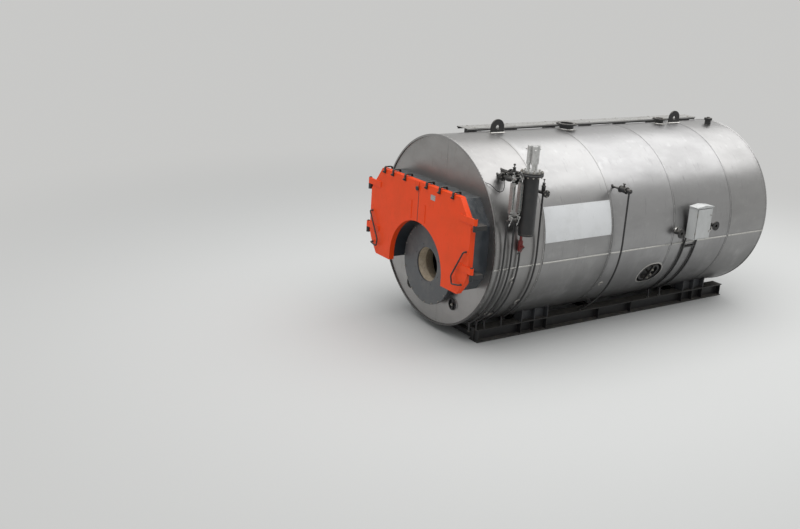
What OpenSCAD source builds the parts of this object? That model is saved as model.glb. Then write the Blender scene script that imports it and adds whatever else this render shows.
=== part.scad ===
// Horizontal three-pass steam boiler on a skid.
// X runs from the front doors to the rear, Y across, Z up, ground at Z = 0.
// Heights named _z are measured from the shell axis unless they say otherwise.
// Distances named _x are measured back from the front rim of the cladding.

/* [Cladding] */
// Outside diameter of the stainless cladding
clad_d = 3500; // [3440:10:3560]
// Length of the cladding from front rim to rear rim
clad_len = 7170; // [7000:10:7600]
// Height of the cladding's underside above the ground
belly_h = 140; // [120:10:250]
// Thickness of the insulated jacket
jacket_thk = 100; // [80:5:120]
// Length of the first and the last sheet course
end_course_len = 1110; // [1060:10:1160]
// Height of the lap seams above the sheet
lap_h = 4; // [2:1:8]
// Width of the lap seams
lap_w = 36; // [20:2:60]
// Angle of the long lap seam below the horizontal
lap_angle = 8.15; // [6:0.05:10]
// Section diameter of the bead round each rim
rim_bead_d = 28; // [16:2:36]
// Depth of the flat end covers behind the rims
cover_recess = 20; // [10:2:30]
// Thickness of the insulated end covers
cover_thk = 100; // [80:5:120]

/* [Pressure vessel] */
// Wall of the pressure shell
shell_wall = 20; // [16:1:30]
// Thickness of the tube plates
plate_thk = 28; // [20:1:36]
// Outside diameter of the furnace tube
furnace_d = 1400; // [1300:10:1440]
// Wall of the furnace tube
furnace_wall = 18; // [14:1:24]
// Depth of the furnace axis below the shell axis
furnace_drop = 630; // [600:5:650]
// Projection of the furnace tube in front of the front cover
furnace_nose = 120; // [100:5:160]
// Outside diameter of a fire tube
tube_d = 76; // [60:1:80]
// Wall of a fire tube
tube_wall = 4; // [3:0.5:6]
// Pitch of the fire tubes
tube_pitch = 106; // [100:1:112]
// Outside diameter of the reversing chamber
chamber_d = 2080; // [2060:10:2100]
// Length of the reversing chamber
chamber_len = 800; // [600:20:1000]
// Distance of the reversing chamber from the rear tube plate
chamber_gap = 350; // [250:10:500]

/* [Front smokebox and doors] */
// Distance from the front rim to the face of the doors
door_face_x = 420; // [380:10:460]
// Thickness of a door leaf
door_thk = 105; // [80:5:120]
// Thickness of the door skin
door_skin = 12; // [8:1:16]
// Thickness of the door's turned rim
door_rim = 14; // [8:1:20]
// Height of the doors' top edge
door_top_z = 945; // [900:5:980]
// From the cladding in to the end of the straight top edge
door_top_y = 525; // [490:5:570]
// From the cladding in to the doors' side edge
door_side_y = 175; // [150:5:210]
// Upper end of the vertical side edge
side_high_z = 490; // [440:10:540]
// Lower end of the vertical side edge
side_low_z = -350; // [-400:10:-300]
// Height of the doors' bottom edge
door_bottom_z = -749; // [-780:1:-720]
// From the cladding in to the end of the straight bottom edge
door_bottom_y = 434; // [410:2:470]
// Width of the low corner under the side edge
leaf_cut_y = 86; // [70:2:110]
// Height of the low corner under the side edge
leaf_cut_z = 178; // [150:2:200]
// Radius of the arch over the burner opening
arch_r = 840; // [810:5:860]
// Gap between the two leaves
seam_gap = 16; // [12:1:24]
// Running gap between the doors and the smokebox
door_gap = 6; // [5:0.5:10]
// Inset of the smokebox behind the door edge
box_inset = 40; // [30:2:60]
// Thickness of the smokebox walls
box_wall = 40; // [20:2:60]
// Thickness of the door lining
lining_thk = 88; // [50:1:90]

/* [Hinges] */
// Distance of the hinge axis outside the door edge
hinge_out = 87; // [75:1:100]
// Diameter of the hinge pin
pin_d = 36; // [24:1:40]
// Radial clearance of the hinge pin
pin_fit = 0.3; // [0.2:0.05:0.5]
// Outside diameter of a hinge knuckle
knuckle_d = 72; // [64:1:84]
// Height of a knuckle
knuckle_h = 110; // [80:2:130]
// Height of the upper hinge
hinge_high_z = 560; // [500:5:600]
// Height of the lower hinge
hinge_low_z = -300; // [-330:5:-240]
// Length of a hinge strap on the door face
strap_len = 330; // [250:5:400]
// Thickness of a hinge strap
strap_t = 15; // [10:1:20]

/* [Door fittings] */
// Bar width of a door clamp
clamp_w = 46; // [34:2:60]
// Bar thickness of a door clamp
clamp_t = 24; // [18:1:30]
// Bend radius of a door clamp
clamp_r = 78; // [70:1:90]
// Diameter of the round bar of the door handles
handle_d = 22; // [16:1:26]
// Distance of the handle bar from the door face
handle_out = 60; // [45:1:75]
// Diameter of the seam knob
knob_d = 60; // [40:2:70]
// Distance of the seam knob below the doors' top edge
knob_drop = 125; // [80:5:160]

/* [Burner opening] */
// Diameter of the burner plate
burner_plate_d = 1500; // [1480:10:1600]
// Thickness of the burner plate
burner_plate_thk = 30; // [20:1:40]
// Diameter of the burner throat
throat_d = 640; // [560:10:680]
// Pitch circle of the burner bolts
burner_pcd = 760; // [740:5:800]
// Diameter of the burner bolt holes
burner_hole_d = 22; // [18:1:26]
// Depth of the refractory ring
refractory_len = 420; // [300:10:500]

/* [Skid] */
// Height of the skid beams
beam_h = 250; // [220:5:270]
// Width of the skid beams
beam_w = 250; // [220:5:260]
// Flange thickness of the skid beams
beam_flange = 17; // [12:1:22]
// Web thickness of the skid beams
beam_web = 11; // [8:1:16]
// Distance of each beam from the centre line
beam_y = 930; // [900:5:960]
// Distance from the front rim to the front end of the beams
skid_start_x = 350; // [300:10:400]
// Distance from the rear rim to the rear end of the beams
skid_end_x = 140; // [100:10:200]
// Distance of the front anchor bolts from the front end of the beams
anchor_front = 135; // [100:5:200]
// Distance of the rear anchor bolts from the rear end of the beams
anchor_rear = 345; // [250:5:400]
// Distance of the anchor bolts outside each beam's web
anchor_out = 90; // [80:1:95]
// Diameter of the anchor bolt holes
anchor_d = 26; // [22:1:30]
// Length of a saddle
saddle_len = 650; // [500:10:720]
// Plate thickness of a saddle
saddle_plate = 20; // [14:1:26]
// Distance from the front rim to the front saddle
saddle_front_x = 1700; // [1620:10:1750]
// Distance from the rear rim to the rear saddle
saddle_rear = 1060; // [990:10:1170]

/* [Crown fittings] */
// Distance from the front rim to the front lifting lug
lug_front_x = 1246; // [1220:2:1270]
// Distance from the rear rim to the rear lifting lug
lug_rear = 1195; // [1170:5:1230]
// Plate thickness of a lifting lug
lug_t = 30; // [24:1:40]
// Length of a lifting lug
lug_len = 300; // [260:5:340]
// Height of a lifting lug above the cladding
lug_h = 250; // [220:5:290]
// Diameter of the lifting eye
lug_eye_d = 90; // [70:2:100]
// Distance from the front rim to the steam outlet
steam_x = 2960; // [2900:10:3000]
// Distance from the rear rim to the safety valve nozzle
safety_rear = 1630; // [1570:10:1690]
// Height of the crown flanges above the cladding
crown_flange_h = 110; // [90:2:140]
// Distance from the rear rim to the vent stub
vent_rear = 415; // [370:5:470]
// Distance of the vent stub from the centre line
vent_y = 250; // [200:5:300]
// Outside diameter of the vent stub
vent_d = 60; // [48:1:76]
// Distance from the front rim to the start of the walkway
walk_start_x = 770; // [700:10:900]
// Distance from the rear rim to the end of the walkway
walk_rear = 200; // [140:20:500]
// Width of the walkway
walk_w = 330; // [300:5:360]
// Distance of the walkway's middle from the centre line
walk_y = 440; // [420:5:470]
// Height of the walkway above the crown
walk_rise = 20; // [14:2:60]
// From each end of the walkway to its first bracket
walk_end = 200; // [160:20:260]
// Number of walkway brackets
walk_brackets = 7; // [5:1:9]

/* [Level controls] */
// Distance from the front rim to the level chamber
level_x = 505; // [490:5:530]
// Outside diameter of the level chamber
level_d = 273; // [240:1:290]
// Gap between the cladding and the level chamber
level_gap = 22; // [15:1:40]
// Lower end of the level chamber
level_low_z = 370; // [340:5:400]
// Upper face of the level chamber flange
level_high_z = 1460; // [1430:5:1490]
// Diameter of the level chamber flange
level_flange_d = 400; // [360:5:420]
// Height of the electrode heads
electrode_h = 440; // [380:10:480]
// Diameter of the plate under the electrode heads
electrode_plate_d = 300; // [280:5:320]
// Thickness of the plate under the electrode heads
electrode_plate_t = 30; // [24:1:36]
// Height of the electrodes' necks over that plate
electrode_neck = 100; // [80:5:120]
// Distance from the front rim to the first gauge glass
gauge_x1 = 160; // [140:5:180]
// Distance between the gauge glasses
gauge_step = 165; // [155:5:175]
// Lower end of the gauge glasses
gauge_low_z = 770; // [740:5:800]
// Height of the gauge glasses
gauge_h = 520; // [460:10:560]
// Width of a gauge glass body
gauge_w = 62; // [50:1:76]
// Outside diameter of a connecting pipe
branch_d = 60; // [48:1:70]
// Outside diameter of the drain pipes
drain_d = 34; // [26:1:42]
// Gap between the drain pipes and the cladding
drain_gap = 30; // [20:1:50]
// Distance from the front rim to the last drain pipe
last_drain_x = 900; // [860:5:920]
// Top of the red drain valve's body
drain_valve_top = 240; // [220:5:260]
// Height of the valve over the last drain pipe
last_drain_z = 1050; // [1000:10:1080]

/* [Side fittings] */
// Distance from the front rim to the pressure connection
press_x = 367; // [350:1:400]
// Height of the pressure connection
press_z = 1270; // [1240:5:1290]
// Reach of the pressure connection beyond the cladding
press_reach = 480; // [400:10:520]
// Outside diameter of the pressure connection
press_d = 60; // [48:1:70]
// Diameter of the pressure connection's first flange
press_flange_d = 150; // [120:5:170]
// Distance of its first flange from the cladding
press_neck = 110; // [80:5:150]
// Distance from the front rim to the sampling valve
sample_x = 2880; // [2860:5:2900]
// Height of the sampling valve
sample_z = 940; // [900:5:980]
// Radius of the sampling pipe's path beyond the cladding
sample_out = 150; // [120:5:200]
// Outside diameter of the sampling pipe
sample_d = 34; // [26:1:42]
// Diameter of the sampling valve's body
sample_body_d = 110; // [90:5:130]
// Length of the sampling valve's body
sample_body_len = 160; // [120:5:200]
// Distance from the front rim to the cabinet's middle
cabinet_x = 4925; // [4900:5:4950]
// Width of the cabinet
cabinet_w = 440; // [400:5:480]
// Depth of the cabinet
cabinet_dep = 200; // [150:5:240]
// Height of the cabinet
cabinet_hgt = 640; // [560:5:680]
// Height of the cabinet's bottom edge
cabinet_z = -145; // [-180:5:-100]
// Overhang of the cabinet's lid
lid_over = 18; // [8:1:30]
// Height of the cabinet's lid at its ridge
lid_h = 46; // [30:2:60]
// Section of the cabinet legs
leg_s = 40; // [30:1:50]
// Distance between the cabinet legs
leg_gap = 330; // [300:5:360]
// Distance from the front rim to the first side nozzle
feed_x1 = 4470; // [4440:5:4520]
// Height of the first side nozzle
feed_z1 = -20; // [-40:5:20]
// Distance from the front rim to the second side nozzle
feed_x2 = 5450; // [5420:5:5500]
// Height of the second side nozzle
feed_z2 = 40; // [0:5:60]
// Outside diameter of the side nozzles
feed_d = 76; // [60:1:90]
// Reach of the side nozzles beyond the cladding
feed_reach = 150; // [120:5:190]
// Distance from the front rim to the side manholes
manhole_x = 4150; // [4120:5:4180]
// Angle of the side manholes below the horizontal
manhole_angle = 30.4; // [28:0.1:33]
// Width of a manhole neck
manhole_w = 500; // [460:5:540]
// Height of a manhole neck
manhole_h = 400; // [360:5:430]
// Width of a manhole's rim
manhole_ring = 40; // [30:2:50]
// Gap round a manhole neck in the jacket
manhole_gap = 45; // [30:1:60]
// Margin between the sign plate and the seams beside it
sign_edge = 8; // [4:1:30]
// Angle of the sign's lower edge above the horizontal
sign_low = 3.6; // [2:0.1:5]
// Angle of the sign's upper edge above the horizontal
sign_high = 24.5; // [22:0.1:27]
// Thickness of the sign plate
sign_t = 4; // [2:0.5:8]

/* [Front handholes] */
// Distance of each handhole from the centre line
hand_y = 680; // [660:5:700]
// Depth of the handholes below the axis
hand_drop = 1210; // [1190:5:1240]
// Outside diameter of a handhole neck
hand_d = 219; // [200:1:230]

/* [Rear] */
// Half width of the rear smokebox
rear_box_y = 1340; // [1330:5:1360]
// Lower edge of the rear smokebox
rear_box_low_z = -430; // [-440:5:-420]
// Height of the rear smokebox
rear_box_h = 1130; // [1120:5:1150]
// Cut corners of the rear smokebox
rear_box_cut = 200; // [150:10:240]
// Depth of the rear smokebox behind the rear cover
rear_box_len = 230; // [200:5:260]
// Outside diameter of the flue outlet
flue_d = 760; // [700:10:780]
// Height of the flue outlet over the middle of the rear smokebox
flue_z = 105; // [65:5:125]
// Length of the flue outlet
flue_len = 150; // [120:5:170]
// Width of the rear cleaning doors
clean_door_w = 560; // [540:5:580]
// Height of the rear cleaning doors
clean_door_h = 700; // [680:5:720]
// From the rear smokebox's lower edge to its cleaning doors
clean_door_z = 215; // [205:5:225]
// Pitch circle of the flue outlet bolts
flue_pcd = 830; // [810:5:840]
// Diameter of the rear access door
access_d = 520; // [480:10:540]
// Depth of the rear access door below the axis
access_drop = 820; // [800:5:860]

/* [Hidden] */
$fn = 96;
fit = 0.3;
clad_r = clad_d / 2;
axis_h = clad_r + belly_h;
rim_x = -clad_len / 2;
rear_x = clad_len / 2;
shell_r = clad_r - jacket_thk;
cover_r = clad_r - rim_bead_d;
cover_x = rim_x + cover_recess;
rear_cover_x = rear_x - cover_recess;
plate_x = cover_x + cover_thk;
rear_plate_x = rear_cover_x - cover_thk;
plate_r = shell_r - shell_wall - fit;
mid_course_len = (clad_len - 2 * end_course_len) / 3;

furnace_z = -furnace_drop;
furnace_x = cover_x - furnace_nose;
chamber_z = -furnace_drop / 2 - 15;
chamber_end_x = rear_plate_x - plate_thk - chamber_gap;
chamber_x = chamber_end_x - chamber_len;

face_x = rim_x - door_face_x;
box_x = face_x + door_thk + door_gap;
leaf_side_y = clad_r - door_side_y;
leaf_low = [leaf_side_y - leaf_cut_y, side_low_z - leaf_cut_z];
hinge_x = face_x + 20;
hinge_y = leaf_side_y + hinge_out;

beam_x = rim_x + skid_start_x;
beam_len = clad_len - skid_start_x - skid_end_x;
pipe_land_y = beam_y + 90;

gauge_y = clad_r + 110;
gauge_xs = [gauge_x1, gauge_x1 + gauge_step];
drain_path_r = clad_r + drain_gap + drain_d / 2;
level_y = clad_r + level_gap + level_d / 2;
sample_path_r = clad_r + sample_out;
elbow_over = 12;
leg_path_r = clad_r + 10 + leg_s / 2;
nozzle_slack = 5;

// Distances back from the front rim
lug_xs = [lug_front_x, clad_len - lug_rear];
saddle_xs = [saddle_front_x, clad_len - saddle_rear];
walk_len = clad_len - walk_start_x - walk_rear;
// The crown nozzles share one form: [distance back, pipe, flange, pitch circle, count, hole]
steam_nozzle = [steam_x, 273, 405, 355, 12, 26];
safety_nozzle = [clad_len - safety_rear, 168, 285, 240, 8, 22];
crown_nozzles = [steam_nozzle, safety_nozzle];
// Side branches through the jacket: [distance back, height, pipe diameter]
level_branch_zs = [level_low_z + 130, level_high_z - 130];
branches = concat(
    [for (z = level_branch_zs) [level_x, z, branch_d]],
    [[press_x, press_z, press_d], [sample_x, sample_z, branch_d],
     [feed_x1, feed_z1, feed_d], [feed_x2, feed_z2, feed_d],
     [last_drain_x, last_drain_z, branch_d]]);

hinge_zs = [hinge_high_z, hinge_low_z];
// Clamp places along the top edge of the left and the right leaf
clamps_left = [450, 850, 1130];
clamps_right = [240, 635, 1030];
// Corners of the bent door handle, out from the centre line and up from the axis
handle_points = [[1500, 60], [1200, -440], [1235, -580], [1430, -545]];

// Helpers: outlines lie in the YZ plane, measured from the shell axis

module extrude_x(x, len)
    translate([x, 0, axis_h]) rotate([90, 0, 90]) linear_extrude(len) children();

module disc_x(x, len, r, z = 0, y = 0)
    translate([x, y, axis_h + z]) rotate([0, 90, 0])
        cylinder(h = len, r = r, $fn = r > 1000 ? 360 : 96);

// Turns its children's Z axis to point out of the shell, at an angle above the
// horizontal on the side of the controls
module radial(x, angle)
    translate([x, 0, axis_h]) rotate([90 - angle, 0, 0]) children();

// A level pipe that runs from y0 out to y1 on the side of the controls
module side_pipe(x, z, y0, y1, d)
    translate([x, -y0, axis_h + z]) rotate([90, 0, 0]) cylinder(h = y1 - y0, d = d);

module upright(x, y, z0, z1, d)
    translate([x, y, axis_h + z0]) cylinder(h = z1 - z0, d = d);

module rod(a, b, d) {
    v = b - a;
    translate(a) rotate([0, acos(v[2] / norm(v)), atan2(v[1], v[0])])
        cylinder(h = norm(v), d = d);
}

module both_sides() {
    children();
    mirror([0, 1, 0]) children();
}

// A bar bent round the shell axis, from the horizontal down to the angle below it
module ring_sector(x, angle)
    translate([x, 0, axis_h]) rotate([0, 90, 0]) rotate([0, 0, -90])
        rotate_extrude(angle = angle) children();

function unit(v) = v / norm(v);

// Moves each edge of a closed outline inwards by d
function inset(p, d) = [for (i = [0 : len(p) - 1])
    let (a = p[(i + len(p) - 1) % len(p)], b = p[i], c = p[(i + 1) % len(p)],
         u = unit(b - a), v = unit(c - b), m = [-u[1], u[0]], n = [-v[1], v[0]])
    b + (m + n) * d / (1 + m * n)];

leaf_outline = [
    [seam_gap / 2, door_bottom_z], [clad_r - door_bottom_y, door_bottom_z], leaf_low,
    [leaf_side_y, side_low_z], [leaf_side_y, side_high_z],
    [clad_r - door_top_y, door_top_z],
    [seam_gap / 2, door_top_z]
];
half_outline = [for (i = [1 : 5]) leaf_outline[i]];
box_outline = concat(half_outline,
    [for (i = [4 : -1 : 0]) [-half_outline[i][0], half_outline[i][1]]]);

module arch_2d(r) {
    translate([0, furnace_z]) circle(r = r);
    translate([-r, furnace_z - clad_r]) square([2 * r, clad_r]);
}

module leaf_2d(d = 0)
    difference() {
        polygon(inset(leaf_outline, d));
        arch_2d(arch_r + d);
    }

module box_2d(d)
    difference() {
        polygon(inset(box_outline, d));
        arch_2d(arch_r + d);
    }

module box_wall_2d()
    difference() {
        box_2d(box_inset);
        box_2d(box_inset + box_wall);
    }

// Rounded slot outline of a manhole: width along X, height across
module slot_2d(w, h) {
    square([w - h, h], center = true);
    for (s = [-1, 1]) translate([s * (w - h) / 2, 0]) circle(d = h);
}

module flange(d, t, bore, pcd, count, hole)
    difference() {
        cylinder(h = t, d = d);
        translate([0, 0, -1]) cylinder(h = t + 2, d = bore);
        for (i = [0 : count - 1]) rotate([0, 0, (i + 0.5) * 360 / count])
            translate([pcd / 2, 0, -1]) cylinder(h = t + 2, d = hole);
    }

// Jacket

module manhole_place(s)
    mirror([0, s, 0]) radial(rim_x + manhole_x, -manhole_angle) children();

module saddle_place(x)
    both_sides() translate([rim_x + x, beam_y, beam_h]) children();

// Upright plates of one saddle foot, grown by g where the jacket is cut round them
module saddle_plates(g = 0) {
    foot_h = axis_h - beam_h - shell_r / 2;
    translate([-saddle_len / 2 - g, -saddle_plate / 2 - g, 0])
        cube([saddle_len + 2 * g, saddle_plate + 2 * g, foot_h]);
    for (s = [-1, 0, 1])
        translate([s * (saddle_len - saddle_plate) / 2 - saddle_plate / 2 - g,
                   -beam_w / 2 + 10 - g, 0])
            cube([saddle_plate + 2 * g, beam_w - 20 + 2 * g, foot_h]);
}

module jacket_cuts() {
    for (n = crown_nozzles)
        radial(rim_x + n[0], 90) cylinder(h = clad_r + 50, d = n[1] + 2 * nozzle_slack);
    for (x = lug_xs)
        translate([rim_x + x - lug_len / 2 - nozzle_slack, -lug_t / 2 - nozzle_slack, axis_h])
            cube([lug_len + 2 * nozzle_slack, lug_t + 2 * nozzle_slack, clad_r + 50]);
    upright(rear_x - vent_rear, -vent_y, 0, clad_r + 50, vent_d + 2 * nozzle_slack);
    for (s = [0, 1]) manhole_place(s) linear_extrude(clad_r + 50)
        slot_2d(manhole_w + 2 * manhole_gap, manhole_h + 2 * manhole_gap);
    for (x = saddle_xs) saddle_place(x) saddle_plates(nozzle_slack);
    for (b = branches) side_pipe(rim_x + b[0], b[1], 0, clad_r + 50, b[2] + 2 * nozzle_slack);
}

course_starts = [0, end_course_len, end_course_len + mid_course_len,
    end_course_len + 2 * mid_course_len, clad_len - end_course_len, clad_len];

module jacket_course(n) {
    x0 = rim_x + course_starts[n];
    x1 = rim_x + course_starts[n + 1];
    first = n == 0;
    last = n == 4;
    color("silver") difference() {
        union() {
            disc_x(x0, x1 - x0, clad_r);
            // the rear edge laps over the next course
            if (!last) disc_x(x1 - lap_w, lap_w, clad_r + lap_h);
            // the long lap seam on both sides
            both_sides() radial(x0, -lap_angle)
                translate([0, -lap_w / 2, clad_r - 10])
                    cube([x1 - x0, lap_w, 10 + lap_h / 2]);
            if (first) rim_bead(rim_x + rim_bead_d / 2);
            if (last) rim_bead(rear_x - rim_bead_d / 2);
        }
        disc_x(x0 - 1, x1 - x0 + 2, shell_r + fit);
        if (first) disc_x(rim_x - 1, cover_recess + cover_thk + 1, cover_r + fit);
        if (last) disc_x(rear_plate_x, cover_recess + cover_thk + 1, cover_r + fit);
        jacket_cuts();
    }
}

// The outside of the jacket with its raised seams, grown by g
module jacket_envelope(g) {
    disc_x(rim_x, clad_len, clad_r + g);
    for (i = [1 : 4])
        disc_x(rim_x + course_starts[i] - lap_w - g, lap_w + 2 * g, clad_r + lap_h + g);
}

module rim_bead(x)
    translate([x, 0, axis_h]) rotate([0, 90, 0])
        rotate_extrude() translate([clad_r - 2, 0]) circle(d = rim_bead_d);

// The front cover is made of panels that join at the corners of the smokebox
module jacket_front_cover()
    color("silver") difference() {
        disc_x(cover_x, cover_thk, cover_r);
        extrude_x(cover_x - 1, cover_thk + 2) cover_joints_2d();
        extrude_x(cover_x - 1, cover_thk + 2) box_2d(box_inset - fit);
        disc_x(cover_x - 1, cover_thk + 2, furnace_d / 2 + fit, furnace_z);
        both_sides()
            disc_x(cover_x - 1, cover_thk + 2, hand_d / 2 + fit, -hand_drop, hand_y);
    }

// They also part above, below and beside the burner opening
module cover_joints_2d() {
    reach = arch_r + box_inset;
    strip_w = reach - furnace_d / 2 + 20;
    for (z = [door_top_z - box_inset, side_high_z])
        translate([-clad_r, z]) square([clad_d, fit]);
    for (s = [0, 1]) mirror([s, 0]) {
        for (z = [side_low_z, door_bottom_z + box_inset])
            translate([reach, z]) square([clad_r - reach, fit]);
        translate([furnace_d / 2 - 10, furnace_z]) square([strip_w, fit]);
    }
    translate([-fit / 2, -clad_r]) square([fit, clad_r + furnace_z + reach + 10]);
}

module jacket_rear_cover()
    color("silver") difference() {
        disc_x(rear_plate_x, cover_thk, cover_r);
        extrude_x(rear_plate_x - 1, cover_thk + 2) rear_box_2d(-fit);
        disc_x(rear_plate_x - 1, cover_thk + 2, access_d / 2 + fit, -access_drop);
    }

// Pressure vessel

module pressure_shell()
    color("dimgray") difference() {
        disc_x(plate_x, rear_plate_x - plate_x, shell_r);
        disc_x(plate_x - 1, rear_plate_x - plate_x + 2, shell_r - shell_wall);
        for (n = crown_nozzles)
            radial(rim_x + n[0], 90) cylinder(h = clad_r, d = n[1] + 2 * fit);
        upright(rear_x - vent_rear, -vent_y, 0, clad_r, vent_d + 2 * fit);
        for (b = branches) side_pipe(rim_x + b[0], b[1], 0, clad_r, b[2] + 2 * fit);
        for (s = [0, 1]) manhole_place(s) linear_extrude(clad_r)
            slot_2d(manhole_w + 2 * fit, manhole_h + 2 * fit);
    }

function tube_centres() = [for (i = [-14 : 13], j = [-4 : 6])
    [(i + 0.5) * tube_pitch, j * tube_pitch]];
tube_edge = tube_d / 2 + 22;
box_clear = box_inset + box_wall + tube_edge;
rear_clear = box_wall + tube_edge;
rear_box_mid_z = rear_box_low_z + rear_box_h / 2;
// Second pass: over the furnace, into the reversing chamber
return_tubes = [for (p = tube_centres())
    if (norm(p - [0, furnace_z]) > arch_r + box_clear
        && norm(p - [0, chamber_z]) < chamber_d / 2 - 20 - tube_edge) p];
// Third pass: outside the chamber, through to the rear
exit_tubes = [for (p = tube_centres())
    if (norm(p - [0, chamber_z]) > chamber_d / 2 + tube_edge
        && norm(p) < plate_r - 110 - tube_edge
        && abs(p[0]) < rear_box_y - rear_clear
        && abs(p[1] - rear_box_mid_z) < rear_box_h / 2 - rear_clear
        && abs(p[0]) + abs(p[1] - rear_box_mid_z)
            < rear_box_y + rear_box_h / 2 - rear_box_cut - sqrt(2) * rear_clear) p];

module tube_holes(centres, x, len)
    for (p = centres) disc_x(x - 1, len + 2, tube_d / 2 + fit, p[1], p[0]);

module front_tube_plate()
    color("gray") difference() {
        disc_x(plate_x, plate_thk, plate_r);
        disc_x(plate_x - 1, plate_thk + 2, furnace_d / 2 + fit, furnace_z);
        both_sides()
            disc_x(plate_x - 1, plate_thk + 2, hand_d / 2 + fit, -hand_drop, hand_y);
        tube_holes(return_tubes, plate_x, plate_thk);
        tube_holes(exit_tubes, plate_x, plate_thk);
    }

module rear_tube_plate()
    color("gray") difference() {
        disc_x(rear_plate_x - plate_thk, plate_thk, plate_r);
        tube_holes(exit_tubes, rear_plate_x - plate_thk, plate_thk);
    }

module furnace_tube() {
    len = chamber_x - furnace_x + plate_thk;
    color("dimgray") difference() {
        disc_x(furnace_x, len, furnace_d / 2, furnace_z);
        disc_x(furnace_x - 1, len + 2, furnace_d / 2 - furnace_wall, furnace_z);
    }
}

module reversing_chamber()
    color("dimgray") difference() {
        disc_x(chamber_x, chamber_len, chamber_d / 2, chamber_z);
        disc_x(chamber_x + plate_thk, chamber_len - 2 * plate_thk,
               chamber_d / 2 - 20, chamber_z);
        disc_x(chamber_x - 1, plate_thk + 2, furnace_d / 2 + fit, furnace_z);
        tube_holes(return_tubes, chamber_x, plate_thk);
    }

module fire_tubes() {
    ends = 6;
    color("dimgray") {
        for (p = return_tubes)
            fire_tube(p, plate_x - ends, chamber_x + plate_thk + ends);
        for (p = exit_tubes) fire_tube(p, plate_x - ends, rear_plate_x + ends);
    }
}

module fire_tube(p, x0, x1)
    difference() {
        disc_x(x0, x1 - x0, tube_d / 2, p[1], p[0]);
        disc_x(x0 - 1, x1 - x0 + 2, tube_d / 2 - tube_wall, p[1], p[0]);
    }

// Front smokebox

box_len = plate_x - box_x;
arch_out = arch_r + box_inset + box_wall;

module box_lid_2d()
    translate([-clad_r, door_top_z - box_inset - box_wall]) square([clad_d, 2 * box_wall]);

module smokebox_top()
    color("slategray") extrude_x(box_x, box_len) intersection() {
        box_wall_2d();
        box_lid_2d();
    }

module smokebox_side()
    color("slategray") extrude_x(box_x, box_len) difference() {
        box_wall_2d();
        translate([-clad_r, -clad_r]) square([clad_r + arch_out, clad_d]);
        box_lid_2d();
    }

module smokebox_side_left() smokebox_side();

module smokebox_side_right() mirror([0, 1, 0]) smokebox_side();

module smokebox_arch()
    color("slategray") extrude_x(box_x, box_len) intersection() {
        box_wall_2d();
        translate([-arch_out, door_bottom_z]) square([2 * arch_out, arch_out + 200]);
    }

// Hinges and doors

// The fixed half: an arm off the smokebox side, a knuckle and its upright pin
module hinge_bracket(z) {
    arm_y = hinge_y - knuckle_d / 2 + 4;
    arm_w = knuckle_d - 8;
    arm_end = box_x + 140;
    wall_y = leaf_side_y - box_inset;
    z0 = z - knuckle_h - fit;
    upright(hinge_x, hinge_y, z0, z - fit, knuckle_d);
    upright(hinge_x, hinge_y, z0, z + knuckle_h + 10, pin_d);
    translate([hinge_x, arm_y, axis_h + z0 + 15])
        cube([arm_end - hinge_x, arm_w, knuckle_h - 30]);
    translate([box_x + 14, wall_y, axis_h + z0 + 15])
        cube([arm_end - box_x - 14, arm_y + arm_w - wall_y, knuckle_h - 30]);
}

module hinge_brackets()
    color("dimgray") both_sides() for (z = hinge_zs) hinge_bracket(z);

// The moving half: a strap on the door face and a knuckle over the pin
module hinge_strap(z) {
    translate([face_x - strap_t, leaf_side_y - strap_len, axis_h + z])
        cube([strap_t, strap_len + hinge_out, knuckle_h]);
    translate([face_x - strap_t, leaf_side_y - 10, axis_h + z])
        cube([hinge_x - face_x + strap_t, hinge_out + 10, knuckle_h]);
    upright(hinge_x, hinge_y, z, z + knuckle_h, knuckle_d);
}

module door_leaf()
    color("orangered") difference() {
        union() {
            difference() {
                extrude_x(face_x, door_thk) leaf_2d();
                extrude_x(face_x + door_skin, door_thk) leaf_2d(door_rim);
            }
            for (z = hinge_zs) hinge_strap(z);
        }
        for (z = hinge_zs)
            upright(hinge_x, hinge_y, z - 1, z + knuckle_h + 1, pin_d + 2 * pin_fit);
    }

module door_left() door_leaf();

module door_right() mirror([0, 1, 0]) door_leaf();

module door_lining()
    color("wheat") extrude_x(face_x + door_skin, lining_thk) leaf_2d(door_rim + fit);

module door_lining_left() door_lining();

module door_lining_right() mirror([0, 1, 0]) door_lining();

// One clamp: a leg on the door face, an arch over the edge, a foot above the smokebox
module door_clamp(y) {
    leg_x = face_x - clamp_t;
    mid_x = leg_x + clamp_t / 2 + clamp_r;
    foot_z = door_top_z - box_inset + 2 * door_gap + 20;
    arch_z = door_top_z + 40;
    translate([leg_x, y - clamp_w / 2, axis_h + door_top_z - 90])
        cube([clamp_t, clamp_w, arch_z - door_top_z + 90]);
    translate([mid_x, y, axis_h + arch_z]) rotate([90, 0, 0])
        rotate_extrude(angle = 180) translate([clamp_r - clamp_t / 2, -clamp_w / 2])
            square([clamp_t, clamp_w]);
    translate([mid_x + clamp_r - clamp_t / 2, y - clamp_w / 2, axis_h + foot_z])
        cube([clamp_t, clamp_w, arch_z - foot_z]);
    translate([leg_x - 26, y, axis_h + door_top_z - 50]) rotate([0, 90, 0])
        cylinder(h = 26, d = 40, $fn = 6);
}

// Bent round bar low on the leaf, standing off on two legs
module door_handle() {
    bar_x = face_x - handle_out;
    pts = [for (p = handle_points) [bar_x, p[0], axis_h + p[1]]];
    for (i = [0 : 2]) rod(pts[i], pts[i + 1], handle_d);
    for (p = pts) translate(p) sphere(d = handle_d + 1.5);
    for (i = [0, 3]) rod(pts[i], pts[i] + [handle_out, 0, 0], handle_d);
}

module door_clamps_left()
    color("black") {
        for (y = clamps_left) door_clamp(y);
        door_handle();
        translate([face_x - 34, seam_gap / 2 + knob_d / 2 + 2, axis_h + door_top_z - knob_drop])
            rotate([0, 90, 0]) cylinder(h = 34, d = knob_d);
    }

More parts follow.
